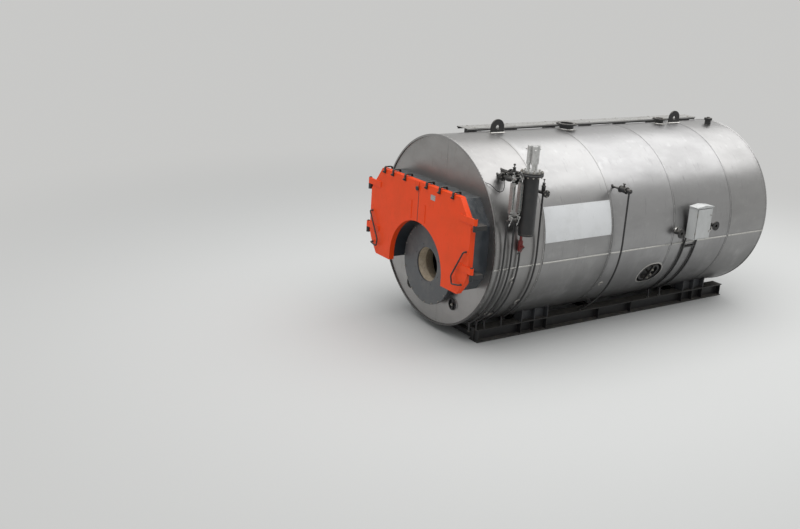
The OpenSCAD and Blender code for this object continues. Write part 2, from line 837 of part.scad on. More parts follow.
module door_clamps_right()
    color("black") {
        for (y = clamps_right) door_clamp(-y);
        mirror([0, 1, 0]) door_handle();
    }

// Burner opening

module burner_plate()
    color("dimgray") translate([furnace_x - burner_plate_thk, 0, axis_h + furnace_z])
        rotate([0, 90, 0])
            flange(burner_plate_d, burner_plate_thk, throat_d, burner_pcd, 8, burner_hole_d);

module burner_refractory()
    color("wheat") difference() {
        disc_x(furnace_x, refractory_len, furnace_d / 2 - furnace_wall - fit, furnace_z);
        disc_x(furnace_x - 1, refractory_len + 2, throat_d / 2, furnace_z);
        translate([furnace_x + refractory_len * 0.4, 0, axis_h + furnace_z])
            rotate([0, 90, 0])
                cylinder(h = refractory_len * 0.6 + 1, r1 = throat_d / 2,
                         r2 = throat_d / 2 + 130);
        for (i = [0 : 7]) rotate_about_furnace((i + 0.5) * 45)
            disc_x(furnace_x - 1, 61, burner_hole_d / 2, furnace_z + burner_pcd / 2);
    }

module rotate_about_furnace(a)
    translate([0, 0, axis_h + furnace_z]) rotate([a, 0, 0])
        translate([0, 0, -axis_h - furnace_z]) children();

// Handholes: a neck through the cover, its cover plate, bridge and nut
module front_handholes()
    color("black") both_sides() {
        difference() {
            disc_x(cover_x - 25, cover_thk + plate_thk + 25, hand_d / 2, -hand_drop, hand_y);
            disc_x(cover_x - 26, 46, hand_d / 2 - 16, -hand_drop, hand_y);
        }
        disc_x(cover_x - 10, 40, 24, -hand_drop, hand_y);
        translate([cover_x - 22, hand_y - 18, axis_h - hand_drop - hand_d / 2 + 6])
            cube([18, 36, hand_d - 12]);
    }

// Manholes: an obround neck in the shell, its cover, a bridge and a stud
module side_manholes()
    color("black") for (s = [0, 1]) manhole_place(s) {
        translate([0, 0, shell_r - shell_wall - 20]) difference() {
            linear_extrude(jacket_thk + shell_wall) slot_2d(manhole_w, manhole_h);
            translate([0, 0, 60]) linear_extrude(jacket_thk + shell_wall)
                slot_2d(manhole_w - 2 * manhole_ring, manhole_h - 2 * manhole_ring);
        }
        translate([-20, -manhole_h / 2 + 8, clad_r - 24]) cube([40, manhole_h - 16, 34]);
        translate([0, 0, shell_r + 10]) cylinder(h = jacket_thk + 20, d = 44);
    }

// Skid

module skid_beam()
    color("black") difference() {
        translate([beam_x, beam_y, 0]) {
            translate([0, -beam_w / 2, 0]) cube([beam_len, beam_w, beam_flange]);
            translate([0, -beam_w / 2, beam_h - beam_flange])
                cube([beam_len, beam_w, beam_flange]);
            translate([0, -beam_web / 2, 0]) cube([beam_len, beam_web, beam_h]);
        }
        for (x = [beam_x + anchor_front, beam_x + beam_len - anchor_rear])
            translate([x, beam_y + anchor_out, -1])
                cylinder(h = beam_flange + 2, d = anchor_d);
    }

module skid_beam_left() skid_beam();

module skid_beam_right() mirror([0, 1, 0]) skid_beam();

// Channels between the beam webs, kept under the shell
module skid_crossmembers() {
    t = 12;
    w = 120;
    span = 2 * (beam_y - beam_web / 2);
    z = beam_flange + 1;
    h = axis_h - clad_r - 30 - z;
    clear = 60;
    xs = [beam_x + clear, rim_x + saddle_xs[0] - w / 2, -w / 2,
          rim_x + saddle_xs[1] - w / 2, beam_x + beam_len - clear - w];
    color("black") for (x = xs) translate([x, -span / 2, z]) difference() {
        cube([w, span, h]);
        translate([t, -1, t]) cube([w, span + 2, h - 2 * t]);
    }
}

module saddles()
    color("dimgray") difference() {
        for (x = saddle_xs) saddle_place(x) saddle_plates();
        disc_x(rim_x, clad_len, shell_r + fit);
    }

// Crown fittings

module lifting_lugs()
    color("black") for (x = lug_xs) difference() {
        union() {
            translate([rim_x + x - lug_len / 2, -lug_t / 2, axis_h + shell_r - 20])
                cube([lug_len, lug_t, jacket_thk + 20 + lug_h - lug_len / 2]);
            translate([rim_x + x, lug_t / 2, axis_h + clad_r + lug_h - lug_len / 2])
                rotate([90, 0, 0]) cylinder(h = lug_t, d = lug_len);
        }
        translate([rim_x + x, lug_t, axis_h + clad_r + lug_h - lug_len / 2])
            rotate([90, 0, 0]) cylinder(h = 2 * lug_t, d = lug_eye_d);
        disc_x(rim_x, clad_len, shell_r + fit);
    }

module crown_nozzle(n) {
    pipe_wall = 9;
    flange_t = 26;
    color("black") translate([rim_x + n[0], 0, axis_h]) {
        translate([0, 0, shell_r - shell_wall - 30]) difference() {
            cylinder(h = jacket_thk + shell_wall + 30 + crown_flange_h - 1, d = n[1]);
            translate([0, 0, -1]) cylinder(h = clad_r, d = n[1] - 2 * pipe_wall);
        }
        translate([0, 0, clad_r + crown_flange_h - flange_t])
            flange(n[2], flange_t, n[1] - 2 * pipe_wall, n[3], n[4], n[5]);
    }
}

module steam_outlet_nozzle() crown_nozzle(steam_nozzle);

module safety_valve_nozzle() crown_nozzle(safety_nozzle);

module vent_stub()
    color("black") {
        z0 = sqrt(pow(shell_r, 2) - pow(vent_y, 2)) - shell_wall - 20;
        upright(rear_x - vent_rear, -vent_y, z0, clad_r + 90, vent_d);
        upright(rear_x - vent_rear, -vent_y, clad_r + 70, clad_r + 96, vent_d + 50);
    }

module walkway_deck() {
    edge = 6;
    depth = 24;
    color("lightgray") translate([rim_x + walk_start_x, walk_y - walk_w / 2,
                                  axis_h + clad_r + walk_rise]) difference() {
        cube([walk_len, walk_w, depth]);
        translate([-1, edge, -1]) cube([walk_len + 2, walk_w - 2 * edge, depth - edge + 1]);
    }
}

module walkway_brackets() {
    w = 50;
    edge = 6;
    step = (walk_len - 2 * walk_end) / (walk_brackets - 1);
    color("black") difference() {
        for (i = [0 : walk_brackets - 1])
            translate([rim_x + walk_start_x + walk_end + i * step - w / 2,
                       walk_y - walk_w / 2 + edge + fit, axis_h + clad_r - 160])
                cube([w, walk_w - 2 * (edge + fit), 160 + walk_rise + 18]);
        jacket_envelope(fit);
    }
}

// Level controls

module level_chamber()
    color("black") {
        upright(rim_x + level_x, -level_y, level_low_z, level_high_z, level_d);
        upright(rim_x + level_x, -level_y, level_high_z - 60, level_high_z, level_flange_d);
        for (z = level_branch_zs) {
            root = sqrt(pow(shell_r, 2) - pow(z, 2)) - 60;
            side_pipe(rim_x + level_x, z, root, level_y, branch_d);
        }
    }

module electrode_heads() {
    neck_z = level_high_z + electrode_plate_t;
    head_z = neck_z + electrode_neck;
    color("silver") {
        upright(rim_x + level_x, -level_y, level_high_z, level_high_z + electrode_plate_t,
                electrode_plate_d);
        for (a = [0 : 120 : 240]) translate([rim_x + level_x, -level_y, 0])
            rotate([0, 0, a]) translate([72, 0, 0]) {
                upright(0, 0, neck_z, head_z, 56);
                upright(0, 0, head_z, level_high_z + electrode_h, 84);
            }
    }
}

module gauge_glasses()
    color("gainsboro") for (x = gauge_xs) {
        translate([rim_x + x - gauge_w / 2, -gauge_y - gauge_w / 2, axis_h + gauge_low_z])
            cube([gauge_w, gauge_w, gauge_h]);
    }

// Valves above and below each gauge glass and their pipes back to the chamber
module level_pipework() {
    stub = 70;
    gauge_high_z = gauge_low_z + gauge_h;
    bridge_z = [gauge_low_z - stub, gauge_high_z + stub];
    color("black") difference() {
        union() {
            for (x = gauge_xs) {
                upright(rim_x + x, -gauge_y, bridge_z[0] - 60, gauge_low_z, 40);
                upright(rim_x + x, -gauge_y, gauge_high_z, bridge_z[1] + 30, 40);
            }
            for (z = bridge_z)
                rod([rim_x + gauge_xs[0] - 30, -gauge_y, axis_h + z],
                    [rim_x + level_x - level_d / 2 + 20, -gauge_y, axis_h + z], 40);
        }
        upright(rim_x + level_x, -level_y, level_low_z, level_high_z, level_d + 2 * fit);
    }
}

// A pipe that drops beside the shell and bends round it to land on the skid
module falling_pipe(x, path_r, z_top, d) {
    angle = acos(pipe_land_y / path_r);
    land_z = -path_r * sin(angle);
    upright(x, -path_r, 0, z_top, d);
    ring_sector(x, angle) translate([path_r, 0]) circle(d = d);
    upright(x, -pipe_land_y, land_z - 24, land_z + 24, d + elbow_over);
    translate([x, -pipe_land_y, beam_h]) cylinder(h = axis_h + land_z - beam_h, d = d);
}

// Two drains under the gauge glasses, one under the chamber's valve and one
// from its own branch through the jacket
module drain_pipes() {
    elbow_z = gauge_low_z - 170;
    x3 = rim_x + last_drain_x;
    root = sqrt(pow(shell_r, 2) - pow(last_drain_z, 2)) - 60;
    color("black") {
        for (g = gauge_xs) {
            x = rim_x + g;
            falling_pipe(x, drain_path_r, elbow_z, drain_d);
            rod([x, -drain_path_r, axis_h + elbow_z], [x, -gauge_y, axis_h + elbow_z], drain_d);
            for (y = [drain_path_r, gauge_y])
                upright(x, -y, elbow_z - 24, elbow_z + 24, drain_d + elbow_over);
            upright(x, -gauge_y, elbow_z, gauge_low_z - 130, drain_d);
        }
        falling_pipe(rim_x + level_x, drain_path_r, 40, drain_d);
        falling_pipe(x3, drain_path_r, last_drain_z, drain_d);
        side_pipe(x3, last_drain_z, root, drain_path_r + 90, branch_d);
        side_pipe(x3, last_drain_z, drain_path_r + 80, drain_path_r + 102, 130);
        upright(x3, -drain_path_r, last_drain_z - 10, last_drain_z + 110, 70);
    }
}

module drain_valve()
    color("firebrick") {
        upright(rim_x + level_x, -drain_path_r, 60, drain_valve_top,
                drain_d + 2 * drain_gap - 10);
        upright(rim_x + level_x, -drain_path_r, 40, level_low_z, drain_d + 16);
    }

// Side fittings

module pressure_connection() {
    root = sqrt(pow(shell_r, 2) - pow(press_z, 2)) - 60;
    skin = sqrt(pow(clad_r, 2) - pow(press_z, 2));
    flange_t = 26;
    color("black") {
        side_pipe(rim_x + press_x, press_z, root, skin + press_reach, press_d);
        side_pipe(rim_x + press_x, press_z, skin + press_neck, skin + press_neck + flange_t,
                  press_flange_d);
        side_pipe(rim_x + press_x, press_z, skin + press_reach - flange_t,
                  skin + press_reach, press_flange_d - 20);
    }
}

module sample_valve() {
    root = sqrt(pow(shell_r, 2) - pow(sample_z, 2)) - 60;
    x = rim_x + sample_x;
    color("black") {
        body_y = sample_path_r - 60;
        side_pipe(x, sample_z, root, sample_path_r, sample_d);
        side_pipe(x, sample_z, body_y - sample_body_len, body_y, sample_body_d);
        side_pipe(x, sample_z, body_y, body_y + 90, sample_body_d - 30);
        falling_pipe(x, sample_path_r, sample_z, sample_d);
    }
}

// The cabinet under a ridged lid that reaches over its front and its sides
module control_cabinet() {
    back = clad_r + 10 + leg_s;
    lid_w = cabinet_w + 2 * lid_over;
    lid_dep = cabinet_dep + lid_over;
    eaves = 14;
    color("white") {
        translate([rim_x + cabinet_x - cabinet_w / 2, -back - cabinet_dep, axis_h + cabinet_z])
            cube([cabinet_w, cabinet_dep, cabinet_hgt]);
        translate([rim_x + cabinet_x - lid_w / 2, -back, axis_h + cabinet_z + cabinet_hgt - eaves])
            rotate([90, 0, 0]) linear_extrude(lid_dep)
                polygon([[0, 0], [lid_w, 0], [lid_w, eaves], [lid_w / 2, lid_h], [0, eaves]]);
    }
}

module cabinet_stand() {
    angle = acos(pipe_land_y / leg_path_r);
    land_z = -leg_path_r * sin(angle);
    bar_angle = 11.6;
    color("black") for (s = [-1, 1]) {
        x = rim_x + cabinet_x + s * leg_gap / 2;
        translate([x - leg_s / 2, -leg_path_r - leg_s / 2, axis_h])
            cube([leg_s, leg_s, cabinet_hgt + cabinet_z - 60]);
        ring_sector(x, angle) translate([leg_path_r, 0]) square(leg_s, center = true);
        translate([x - leg_s / 2, -pipe_land_y - leg_s / 2, beam_h])
            cube([leg_s, leg_s, axis_h + land_z - beam_h]);
    }
    color("black") radial(rim_x + cabinet_x, -bar_angle)
        translate([-leg_gap / 2, -leg_s / 2, leg_path_r - leg_s / 2])
            cube([leg_gap, leg_s, leg_s]);
}

module feed_nozzles() {
    specs = [[feed_x1, feed_z1], [feed_x2, feed_z2]];
    wall = 6;
    flange_t = 22;
    color("black") for (f = specs) {
        reach = clad_r + feed_reach;
        translate([rim_x + f[0], -shell_r + shell_wall + 40, axis_h + f[1]])
            rotate([90, 0, 0]) difference() {
                cylinder(h = reach - shell_r + shell_wall + 39, d = feed_d);
                translate([0, 0, -1]) cylinder(h = clad_r, d = feed_d - 2 * wall);
            }
        translate([rim_x + f[0], -reach + flange_t, axis_h + f[1]]) rotate([90, 0, 0])
            flange(185, flange_t, feed_d - 2 * wall, 145, 4, 18);
    }
}

module sign_plate()
    color("white") translate([rim_x + end_course_len + sign_edge, 0, axis_h])
        rotate([0, 90, 0]) rotate([0, 0, -90 - sign_high])
            rotate_extrude(angle = sign_high - sign_low) translate([clad_r + fit, 0])
                square([sign_t, mid_course_len - lap_w - 2 * sign_edge]);

// Rear

module rear_box_2d(d) {
    y = rear_box_y;
    z0 = rear_box_low_z;
    z1 = rear_box_low_z + rear_box_h;
    c = rear_box_cut;
    polygon(inset([[-y + c, z0], [y - c, z0], [y, z0 + c], [y, z1 - c],
                   [y - c, z1], [-y + c, z1], [-y, z1 - c], [-y, z0 + c]], d));
}

rear_box_back = rear_cover_x + rear_box_len;

rear_wall_len = rear_box_back - rear_plate_x - box_wall;

flue_axis_z = rear_box_mid_z + flue_z;

module rear_smokebox()
    color("slategray") extrude_x(rear_plate_x, rear_wall_len) difference() {
        rear_box_2d(0);
        rear_box_2d(box_wall);
    }

module rear_smokebox_back()
    color("slategray") difference() {
        extrude_x(rear_plate_x + rear_wall_len, box_wall) rear_box_2d(0);
        disc_x(rear_plate_x, rear_wall_len + box_wall + 1, flue_d / 2 + fit, flue_axis_z);
    }

module rear_cleaning_doors() {
    w = clean_door_w;
    h = clean_door_h;
    t = 40;
    y = rear_box_y - 160 - w;
    low_z = axis_h + rear_box_low_z + clean_door_z;
    color("black") both_sides() {
        translate([rear_box_back, y, low_z]) cube([t, w, h]);
        for (z = [0, 1])
            translate([rear_box_back + t, y + w / 2, low_z + h * (0.2 + 0.6 * z)])
            rotate([0, 90, 0]) cylinder(h = 30, d = 50);
    }
}

module flue_outlet() {
    wall = 8;
    color("slategray") {
        difference() {
            disc_x(rear_box_back - box_wall, flue_len + box_wall, flue_d / 2, flue_axis_z);
            disc_x(rear_box_back - box_wall - 1, flue_len + box_wall + 2,
                   flue_d / 2 - wall, flue_axis_z);
        }
        translate([rear_box_back + flue_len - 14, 0, axis_h + flue_axis_z]) rotate([0, 90, 0])
            flange(flue_pcd + 60, 14, flue_d - 2 * wall, flue_pcd, 12, 14);
    }
}

module rear_access_door()
    color("black") {
        disc_x(rear_plate_x, cover_thk + 30, access_d / 2, -access_drop);
        disc_x(rear_cover_x + 30, 24, access_d / 2 + 25, -access_drop);
        disc_x(rear_cover_x + 54, 40, 40, -access_drop);
    }

jacket_course(0);  // jacket_course_1
jacket_course(1);  // jacket_course_2
jacket_course(2);  // jacket_course_3
jacket_course(3);  // jacket_course_4
jacket_course(4);  // jacket_course_5
jacket_front_cover();
jacket_rear_cover();
pressure_shell();
front_tube_plate();
rear_tube_plate();
furnace_tube();
reversing_chamber();
fire_tubes();
smokebox_top();
smokebox_side_left();
smokebox_side_right();
smokebox_arch();
hinge_brackets();
door_left();
door_right();
door_lining_left();
door_lining_right();
door_clamps_left();
door_clamps_right();
burner_plate();
burner_refractory();
front_handholes();
side_manholes();
skid_beam_left();
skid_beam_right();
skid_crossmembers();
saddles();
lifting_lugs();
steam_outlet_nozzle();
safety_valve_nozzle();
vent_stub();
walkway_deck();
walkway_brackets();
level_chamber();
electrode_heads();
gauge_glasses();
level_pipework();
drain_pipes();
drain_valve();
pressure_connection();
sample_valve();
control_cabinet();
cabinet_stand();
feed_nozzles();
sign_plate();
rear_smokebox();
rear_smokebox_back();
rear_cleaning_doors();
flue_outlet();
rear_access_door();
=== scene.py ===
import math
import bmesh
import bpy
from mathutils import Matrix, Vector


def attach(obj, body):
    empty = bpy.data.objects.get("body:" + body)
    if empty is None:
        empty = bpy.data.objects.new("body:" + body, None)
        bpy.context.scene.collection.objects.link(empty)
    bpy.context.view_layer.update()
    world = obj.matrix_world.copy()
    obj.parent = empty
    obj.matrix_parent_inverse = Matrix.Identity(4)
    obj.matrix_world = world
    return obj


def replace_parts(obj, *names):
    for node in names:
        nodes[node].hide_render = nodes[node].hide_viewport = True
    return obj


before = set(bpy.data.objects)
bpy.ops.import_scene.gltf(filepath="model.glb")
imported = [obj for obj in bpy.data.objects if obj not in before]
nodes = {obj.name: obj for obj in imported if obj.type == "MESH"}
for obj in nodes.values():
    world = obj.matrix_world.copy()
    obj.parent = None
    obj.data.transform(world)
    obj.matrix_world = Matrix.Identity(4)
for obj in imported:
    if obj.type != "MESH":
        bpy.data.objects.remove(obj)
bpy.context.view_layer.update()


# Viewpoint: a standing view from above the front right corner, about twenty metres off,
# level with the crown and turned a little, as in the photograph.
def set_out(name, data):
    """A new object of the scene."""
    made = bpy.data.objects.new(name, data)
    bpy.context.scene.collection.objects.link(made)
    return made


viewpoint = bpy.data.cameras.new("viewpoint")
viewpoint.lens = 44.71
viewpoint.sensor_width = 36.0
viewpoint.clip_end = 600.0
camera = set_out("viewpoint", viewpoint)
camera.matrix_world = Matrix((
    (0.83558, 0.11560, -0.53707, -13.960),
    (-0.54620, 0.27979, -0.78955, -14.178),
    (0.05899, 0.95308, 0.29692, 6.659),
    (0.0, 0.0, 0.0, 1.0)))
bpy.context.scene.camera = camera
bpy.context.scene.view_settings.view_transform = "Standard"


# Studio: a pale floor, one broad soft box over the boiler and an even grey room round it.
# The room is what the polished sheets mirror, so it is as pale as the floor.
def wire(made, kind, inputs, **settings):
    """Adds one node to a finish or tree. Inputs are numbers, or outputs of earlier nodes."""
    tree = getattr(made, "node_tree", made)
    node = tree.nodes.new(kind)
    for key, value in settings.items():
        setattr(node, key, value)
    for key, value in inputs.items():
        if isinstance(value, bpy.types.NodeSocket):
            tree.links.new(value, node.inputs[key])
        else:
            node.inputs[key].default_value = value
    return node


def maths(made, operation, a, b):
    return wire(made, "ShaderNodeMath", {0: a, 1: b}, operation=operation).outputs[0]


def times(made, a, b):
    return maths(made, "MULTIPLY", a, b)


def between(made, value, low, high):
    """Reads a value as a share of the way from low to high, eased at both ends."""
    return wire(made, "ShaderNodeMapRange", {"Value": value, "From Min": low, "From Max": high},
                interpolation_type="SMOOTHSTEP").outputs["Result"]


def shader_of(made):
    return made.node_tree.nodes["Principled BSDF"]


def surface(name, colour, roughness, metallic=0.0, eased=0.0):
    """A new finish with one colour, roughness and metal share, to be worked over. Where eased
    is a radius, the sharp corners of sawn and folded metal are broken by it."""
    made = bpy.data.materials.new(name)
    made.use_nodes = True
    shader = shader_of(made)
    shader.inputs["Base Color"].default_value = (*colour, 1)
    shader.inputs["Roughness"].default_value = roughness
    shader.inputs["Metallic"].default_value = metallic
    if eased:
        bevel = wire(made, "ShaderNodeBevel", {"Radius": eased}, samples=4)
        made.node_tree.links.new(bevel.outputs[0], shader.inputs["Normal"])
    return made


def in_the_picture(made):
    """Share of 1 for what is seen, be it straight, in a mirror or through glass."""
    ray = wire(made, "ShaderNodeLightPath", {}).outputs
    straight = maths(made, "MAXIMUM", ray["Is Camera Ray"], ray["Is Glossy Ray"])
    return maths(made, "MAXIMUM", straight, ray["Is Transmission Ray"])


def end_with(made, output, share, lit, seen):
    """Ends a finish with its lit look, and with its seen look where share is 1."""
    mix = wire(made, "ShaderNodeMixShader", {0: share, 1: lit, 2: seen})
    made.node_tree.links.new(mix.outputs[0], made.node_tree.nodes[output].inputs["Surface"])


room_tone = (0.58, 0.58, 0.57, 1)
floor_reach, floor_height = 250, -0.001
floor_mesh = bpy.data.meshes.new("studio_floor")
floor_mesh.from_pydata([(a * floor_reach, b * floor_reach, floor_height) for a, b in
                        ((-1, -1), (1, -1), (1, 1), (-1, 1))], [], [(0, 1, 2, 3)])
floor_paint = surface("studio_floor_paint", (0.55, 0.55, 0.54), 0.9)
shader_of(floor_paint).inputs["Specular IOR Level"].default_value = 0.1
# away from the boiler the floor is one even tone, as the room behind it
away = wire(floor_paint, "ShaderNodeVectorMath", {
    0: wire(floor_paint, "ShaderNodeTexCoord", {}).outputs["Object"]}, operation="LENGTH")
far_share = times(floor_paint, in_the_picture(floor_paint),
                  between(floor_paint, away.outputs["Value"], 5.0, 17.0))
far_floor = wire(floor_paint, "ShaderNodeEmission", {"Color": room_tone})
end_with(floor_paint, "Material Output", far_share, shader_of(floor_paint).outputs[0],
         far_floor.outputs[0])
floor_mesh.materials.append(floor_paint)
studio_floor = set_out("studio_floor", floor_mesh)

soft_box_light = bpy.data.lights.new("soft_box", "AREA")
soft_box_light.shape = "RECTANGLE"
soft_box_light.size = 38.0
soft_box_light.size_y = 17.0
soft_box_light.energy = 3800.0
soft_box = set_out("soft_box", soft_box_light)
soft_box.location = (3.5, -1.2, 13.5)

room = bpy.data.worlds.new("studio_room")
room.use_nodes = True
bpy.context.scene.world = room
room_lit = room.node_tree.nodes["Background"]
room_lit.inputs["Color"].default_value = (0.95, 0.98, 1.0, 1)
room_lit.inputs["Strength"].default_value = 0.54
room_seen = wire(room, "ShaderNodeBackground", {"Color": room_tone})
end_with(room, "World Output", in_the_picture(room), room_lit.outputs[0], room_seen.outputs[0])

# Pressure vessel: rolled plate shell, flat tube plates and the chamber at the furnace end.
# Hot-rolled steel with its mill scale, rubbed bright in places, dusty with rust near welds.
axis_height = 1.890
vessel_front = -3.465


def at(x, y, z):
    """A point by its place along the boiler, beside its axis and above it."""
    return Vector((x, y, axis_height + z))


def mottle(made, size, stretch=(1, 1, 1), detail=4.0, shift=0.0):
    """Cloudy variation about `size` metres across, drawn out along each axis by stretch."""
    fitted = wire(made, "ShaderNodeMapping", {
        "Vector": wire(made, "ShaderNodeTexCoord", {}).outputs["Object"],
        "Location": (shift, shift * 0.7, shift * 1.3),
        "Scale": tuple(1.0 / (size * s) for s in stretch)})
    return wire(made, "ShaderNodeTexNoise", {
        "Vector": fitted.outputs[0], "Scale": 1.0, "Detail": detail,
        "Roughness": 0.6}).outputs["Fac"]


def lay_over(made, share, colour, roughness, metallic=None):
    """Lays another colour, roughness and metal over what is there, where share is 1."""
    for key, value in (("Base Color", (*colour, 1)), ("Roughness", roughness),
                       ("Metallic", metallic)):
        if value is None:
            continue
        socket = shader_of(made).inputs[key]
        under = socket.links[0].from_socket if socket.is_linked else socket.default_value
        kind, a, b, out = ("RGBA", 6, 7, 2) if key == "Base Color" else ("FLOAT", 2, 3, 0)
        mix = wire(made, "ShaderNodeMix", {0: share, a: under, b: value}, data_type=kind)
        made.node_tree.links.new(mix.outputs[out], socket)


def film(made, size, low, high, colour, roughness, metallic=None, within=None, **cloud):
    """Lays a film over a finish in clouds of a size, and only within a share if one is given."""
    share = between(made, mottle(made, size, **cloud), low, high)
    if within is not None:
        share = times(made, within, share)
    lay_over(made, share, colour, roughness, metallic)


def relief(made, height, depth):
    """Raises the surface by up to `depth` metres where height is 1."""
    normal = shader_of(made).inputs["Normal"]
    bump = wire(made, "ShaderNodeBump", {"Height": height, "Distance": depth})
    if normal.is_linked:
        made.node_tree.links.new(normal.links[0].from_socket, bump.inputs["Normal"])
    made.node_tree.links.new(bump.outputs[0], normal)


def grain(made, size, depth, **cloud):
    relief(made, mottle(made, size, **cloud), depth)


def alike(made, first, second):
    """How far two directions agree, 1 where they are the same."""
    return wire(made, "ShaderNodeVectorMath", {0: first, 1: second},
                operation="DOT_PRODUCT").outputs["Value"]


def corners(made, radius):
    """Share of 1 along outer and inner corners, within about `radius` metres of them."""
    bevel = wire(made, "ShaderNodeBevel", {"Radius": radius}, samples=6)
    flat = wire(made, "ShaderNodeNewGeometry", {}).outputs["True Normal"]
    return between(made, alike(made, bevel.outputs[0], flat), 0.995, 0.93)


def lies_up(made):
    """Share of 1 on what faces the sky, where dust settles."""
    flat = wire(made, "ShaderNodeNewGeometry", {}).outputs["Normal"]
    return between(made, wire(made, "ShaderNodeSeparateXYZ", {0: flat}).outputs["Z"], 0.35, 0.95)


def dress(names, made):
    for name in names:
        node = nodes[name]
        node.data.materials.clear()
        node.data.materials.append(made)


mill_scale = surface("mill_scale_steel", (0.105, 0.100, 0.098), 0.52, 0.55, eased=0.003)
film(mill_scale, 0.5, 0.42, 0.68, (0.17, 0.16, 0.15), 0.42, 0.75)
film(mill_scale, 0.09, 0.58, 0.72, (0.17, 0.085, 0.045), 0.85, 0.0, detail=7, shift=4)
grain(mill_scale, 0.02, 0.0006, detail=5)
dress(["pressure_shell", "rear_tube_plate", "front_tube_plate", "reversing_chamber"], mill_scale)

# Furnace tube: a thick rolled tube of clean plate, blued by the heat of its welding at the
# mouth and greyed by primer inside.
furnace_drop = -0.630
furnace_steel = surface("furnace_steel", (0.15, 0.145, 0.15), 0.45, 0.8, eased=0.003)
film(furnace_steel, 0.3, 0.4, 0.7, (0.085, 0.085, 0.10), 0.5, 0.6, stretch=(2.5, 1, 1))
film(furnace_steel, 0.05, 0.62, 0.75, (0.16, 0.08, 0.04), 0.85, 0.0, detail=6)
grain(furnace_steel, 0.015, 0.0005, detail=5)
dress(["furnace_tube"], furnace_steel)

# Fire tubes: drawn steel tubes, expanded into the tube plates and seal-welded there.
# The ends stand 6 mm proud of the plate, each in its own fillet of weld.
tube_across, tube_pitch, bead_across = 0.076, 0.106, 0.008
front_way, rear_way = (-1, 0, 0), (1, 0, 0)
# the returning pass lies round the furnace, and the last pass round that one, inside the shell
furnace_clear, chamber_drop, returns_reach = 0.98, -0.330, 0.96
exits_clear, exits_reach, exits_half = 1.10, 1.4597, 1.24
exits_middle, exits_rise, exits_corner = 0.135, 0.465, 1.56358
tube_steel = surface("tube_steel", (0.20, 0.20, 0.205), 0.4, 0.85)
film(tube_steel, 0.12, 0.45, 0.7, (0.12, 0.10, 0.085), 0.6, 0.4)
grain(tube_steel, 0.01, 0.0003, stretch=(8, 1, 1), detail=5)
dress(["fire_tubes"], tube_steel)


def new_tree(name, sizes):
    """An empty Geometry Nodes tree with a guide, its sizes and a finish going in."""
    tree = bpy.data.node_groups.new(name, "GeometryNodeTree")
    tree.interface.new_socket("Guide", in_out="INPUT", socket_type="NodeSocketGeometry")
    for size, value in sizes.items():
        tree.interface.new_socket(size, in_out="INPUT",
                                  socket_type="NodeSocketFloat").default_value = value
    tree.interface.new_socket("Finish", in_out="INPUT", socket_type="NodeSocketMaterial")
    tree.interface.new_socket("Made", in_out="OUTPUT", socket_type="NodeSocketGeometry")
    return tree, wire(tree, "NodeGroupInput", {}).outputs


def close_tree(tree, given, geometry, smooth=True):
    """Ends a tree: real geometry, shaded, in its finish."""
    real = wire(tree, "GeometryNodeRealizeInstances", {"Geometry": geometry})
    shaded = wire(tree, "GeometryNodeSetShadeSmooth", {"Geometry": real.outputs[0],
                                                       "Shade Smooth": smooth})
    done = wire(tree, "GeometryNodeSetMaterial", {"Geometry": shaded.outputs[0],
                                                  "Material": given["Finish"]})
    wire(tree, "NodeGroupOutput", {"Made": done.outputs[0]})


def along_guide(tree, axis="Z"):
    """The turn that lays one axis of an instance along the guide's own direction."""
    out = wire(tree, "GeometryNodeInputNamedAttribute", {"Name": "outwards"},
               data_type="FLOAT_VECTOR")
    return wire(tree, "FunctionNodeAlignRotationToVector", {"Vector": out.outputs[0]},
                axis=axis).outputs[0]


def stand_on(tree, points, thing, turn):
    return wire(tree, "GeometryNodeInstanceOnPoints", {
        "Points": points, "Instance": thing, "Rotation": turn}).outputs[0]


def hoop(tree, sides, radius):
    return wire(tree, "GeometryNodeCurvePrimitiveCircle",
                {"Resolution": sides, "Radius": radius}, mode="RADIUS").outputs[0]


def guide_of(runs, closed=False):
    """A guide for a tree: runs of (point, way outwards), joined along each run."""
    mesh = bpy.data.meshes.new("guide")
    points, edges, ways = [], [], []
    for run in runs:
        start = len(points)
        points += [tuple(p) for p, _ in run]
        ways += [c for _, way in run for c in way]
        edges += [(start + i, start + i + 1) for i in range(len(run) - 1)]
        if closed:
            edges.append((start + len(run) - 1, start))
    mesh.from_pydata(points, edges, [])
    mesh.attributes.new("outwards", "FLOAT_VECTOR", "POINT").data.foreach_set("vector", ways)
    return set_out("guide", mesh)


def make_along(name, tree, guide, finish, sizes, body="boiler"):
    """Runs a tree over its guide and keeps the result as one plain mesh on its body."""
    modifier = guide.modifiers.new("make", "NODES")
    modifier.node_group = tree
    for item in tree.interface.items_tree:
        if item.in_out == "INPUT" and item.name in sizes:
            modifier[item.identifier] = float(sizes[item.name])
        elif item.in_out == "INPUT" and item.name == "Finish":
            modifier[item.identifier] = finish
    bpy.context.view_layer.update()
    mesh = bpy.data.meshes.new_from_object(
        guide.evaluated_get(bpy.context.evaluated_depsgraph_get()))
    guide.modifiers.remove(modifier)
    bpy.data.objects.remove(guide)
    mesh.name = name
    piece = set_out(name, mesh)
    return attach(piece, body)


tube_welds, given = new_tree("tube_end_welds", {"Tube Across": tube_across, "Bead": bead_across})
bead = wire(tube_welds, "GeometryNodeCurveToMesh", {
    "Curve": hoop(tube_welds, 20, times(tube_welds, given["Tube Across"], 0.5)),
    "Profile Curve": hoop(tube_welds, 5, times(tube_welds, given["Bead"], 0.5))})
close_tree(tube_welds, given, stand_on(tube_welds, given["Guide"], bead.outputs[0],
                                       along_guide(tube_welds)))

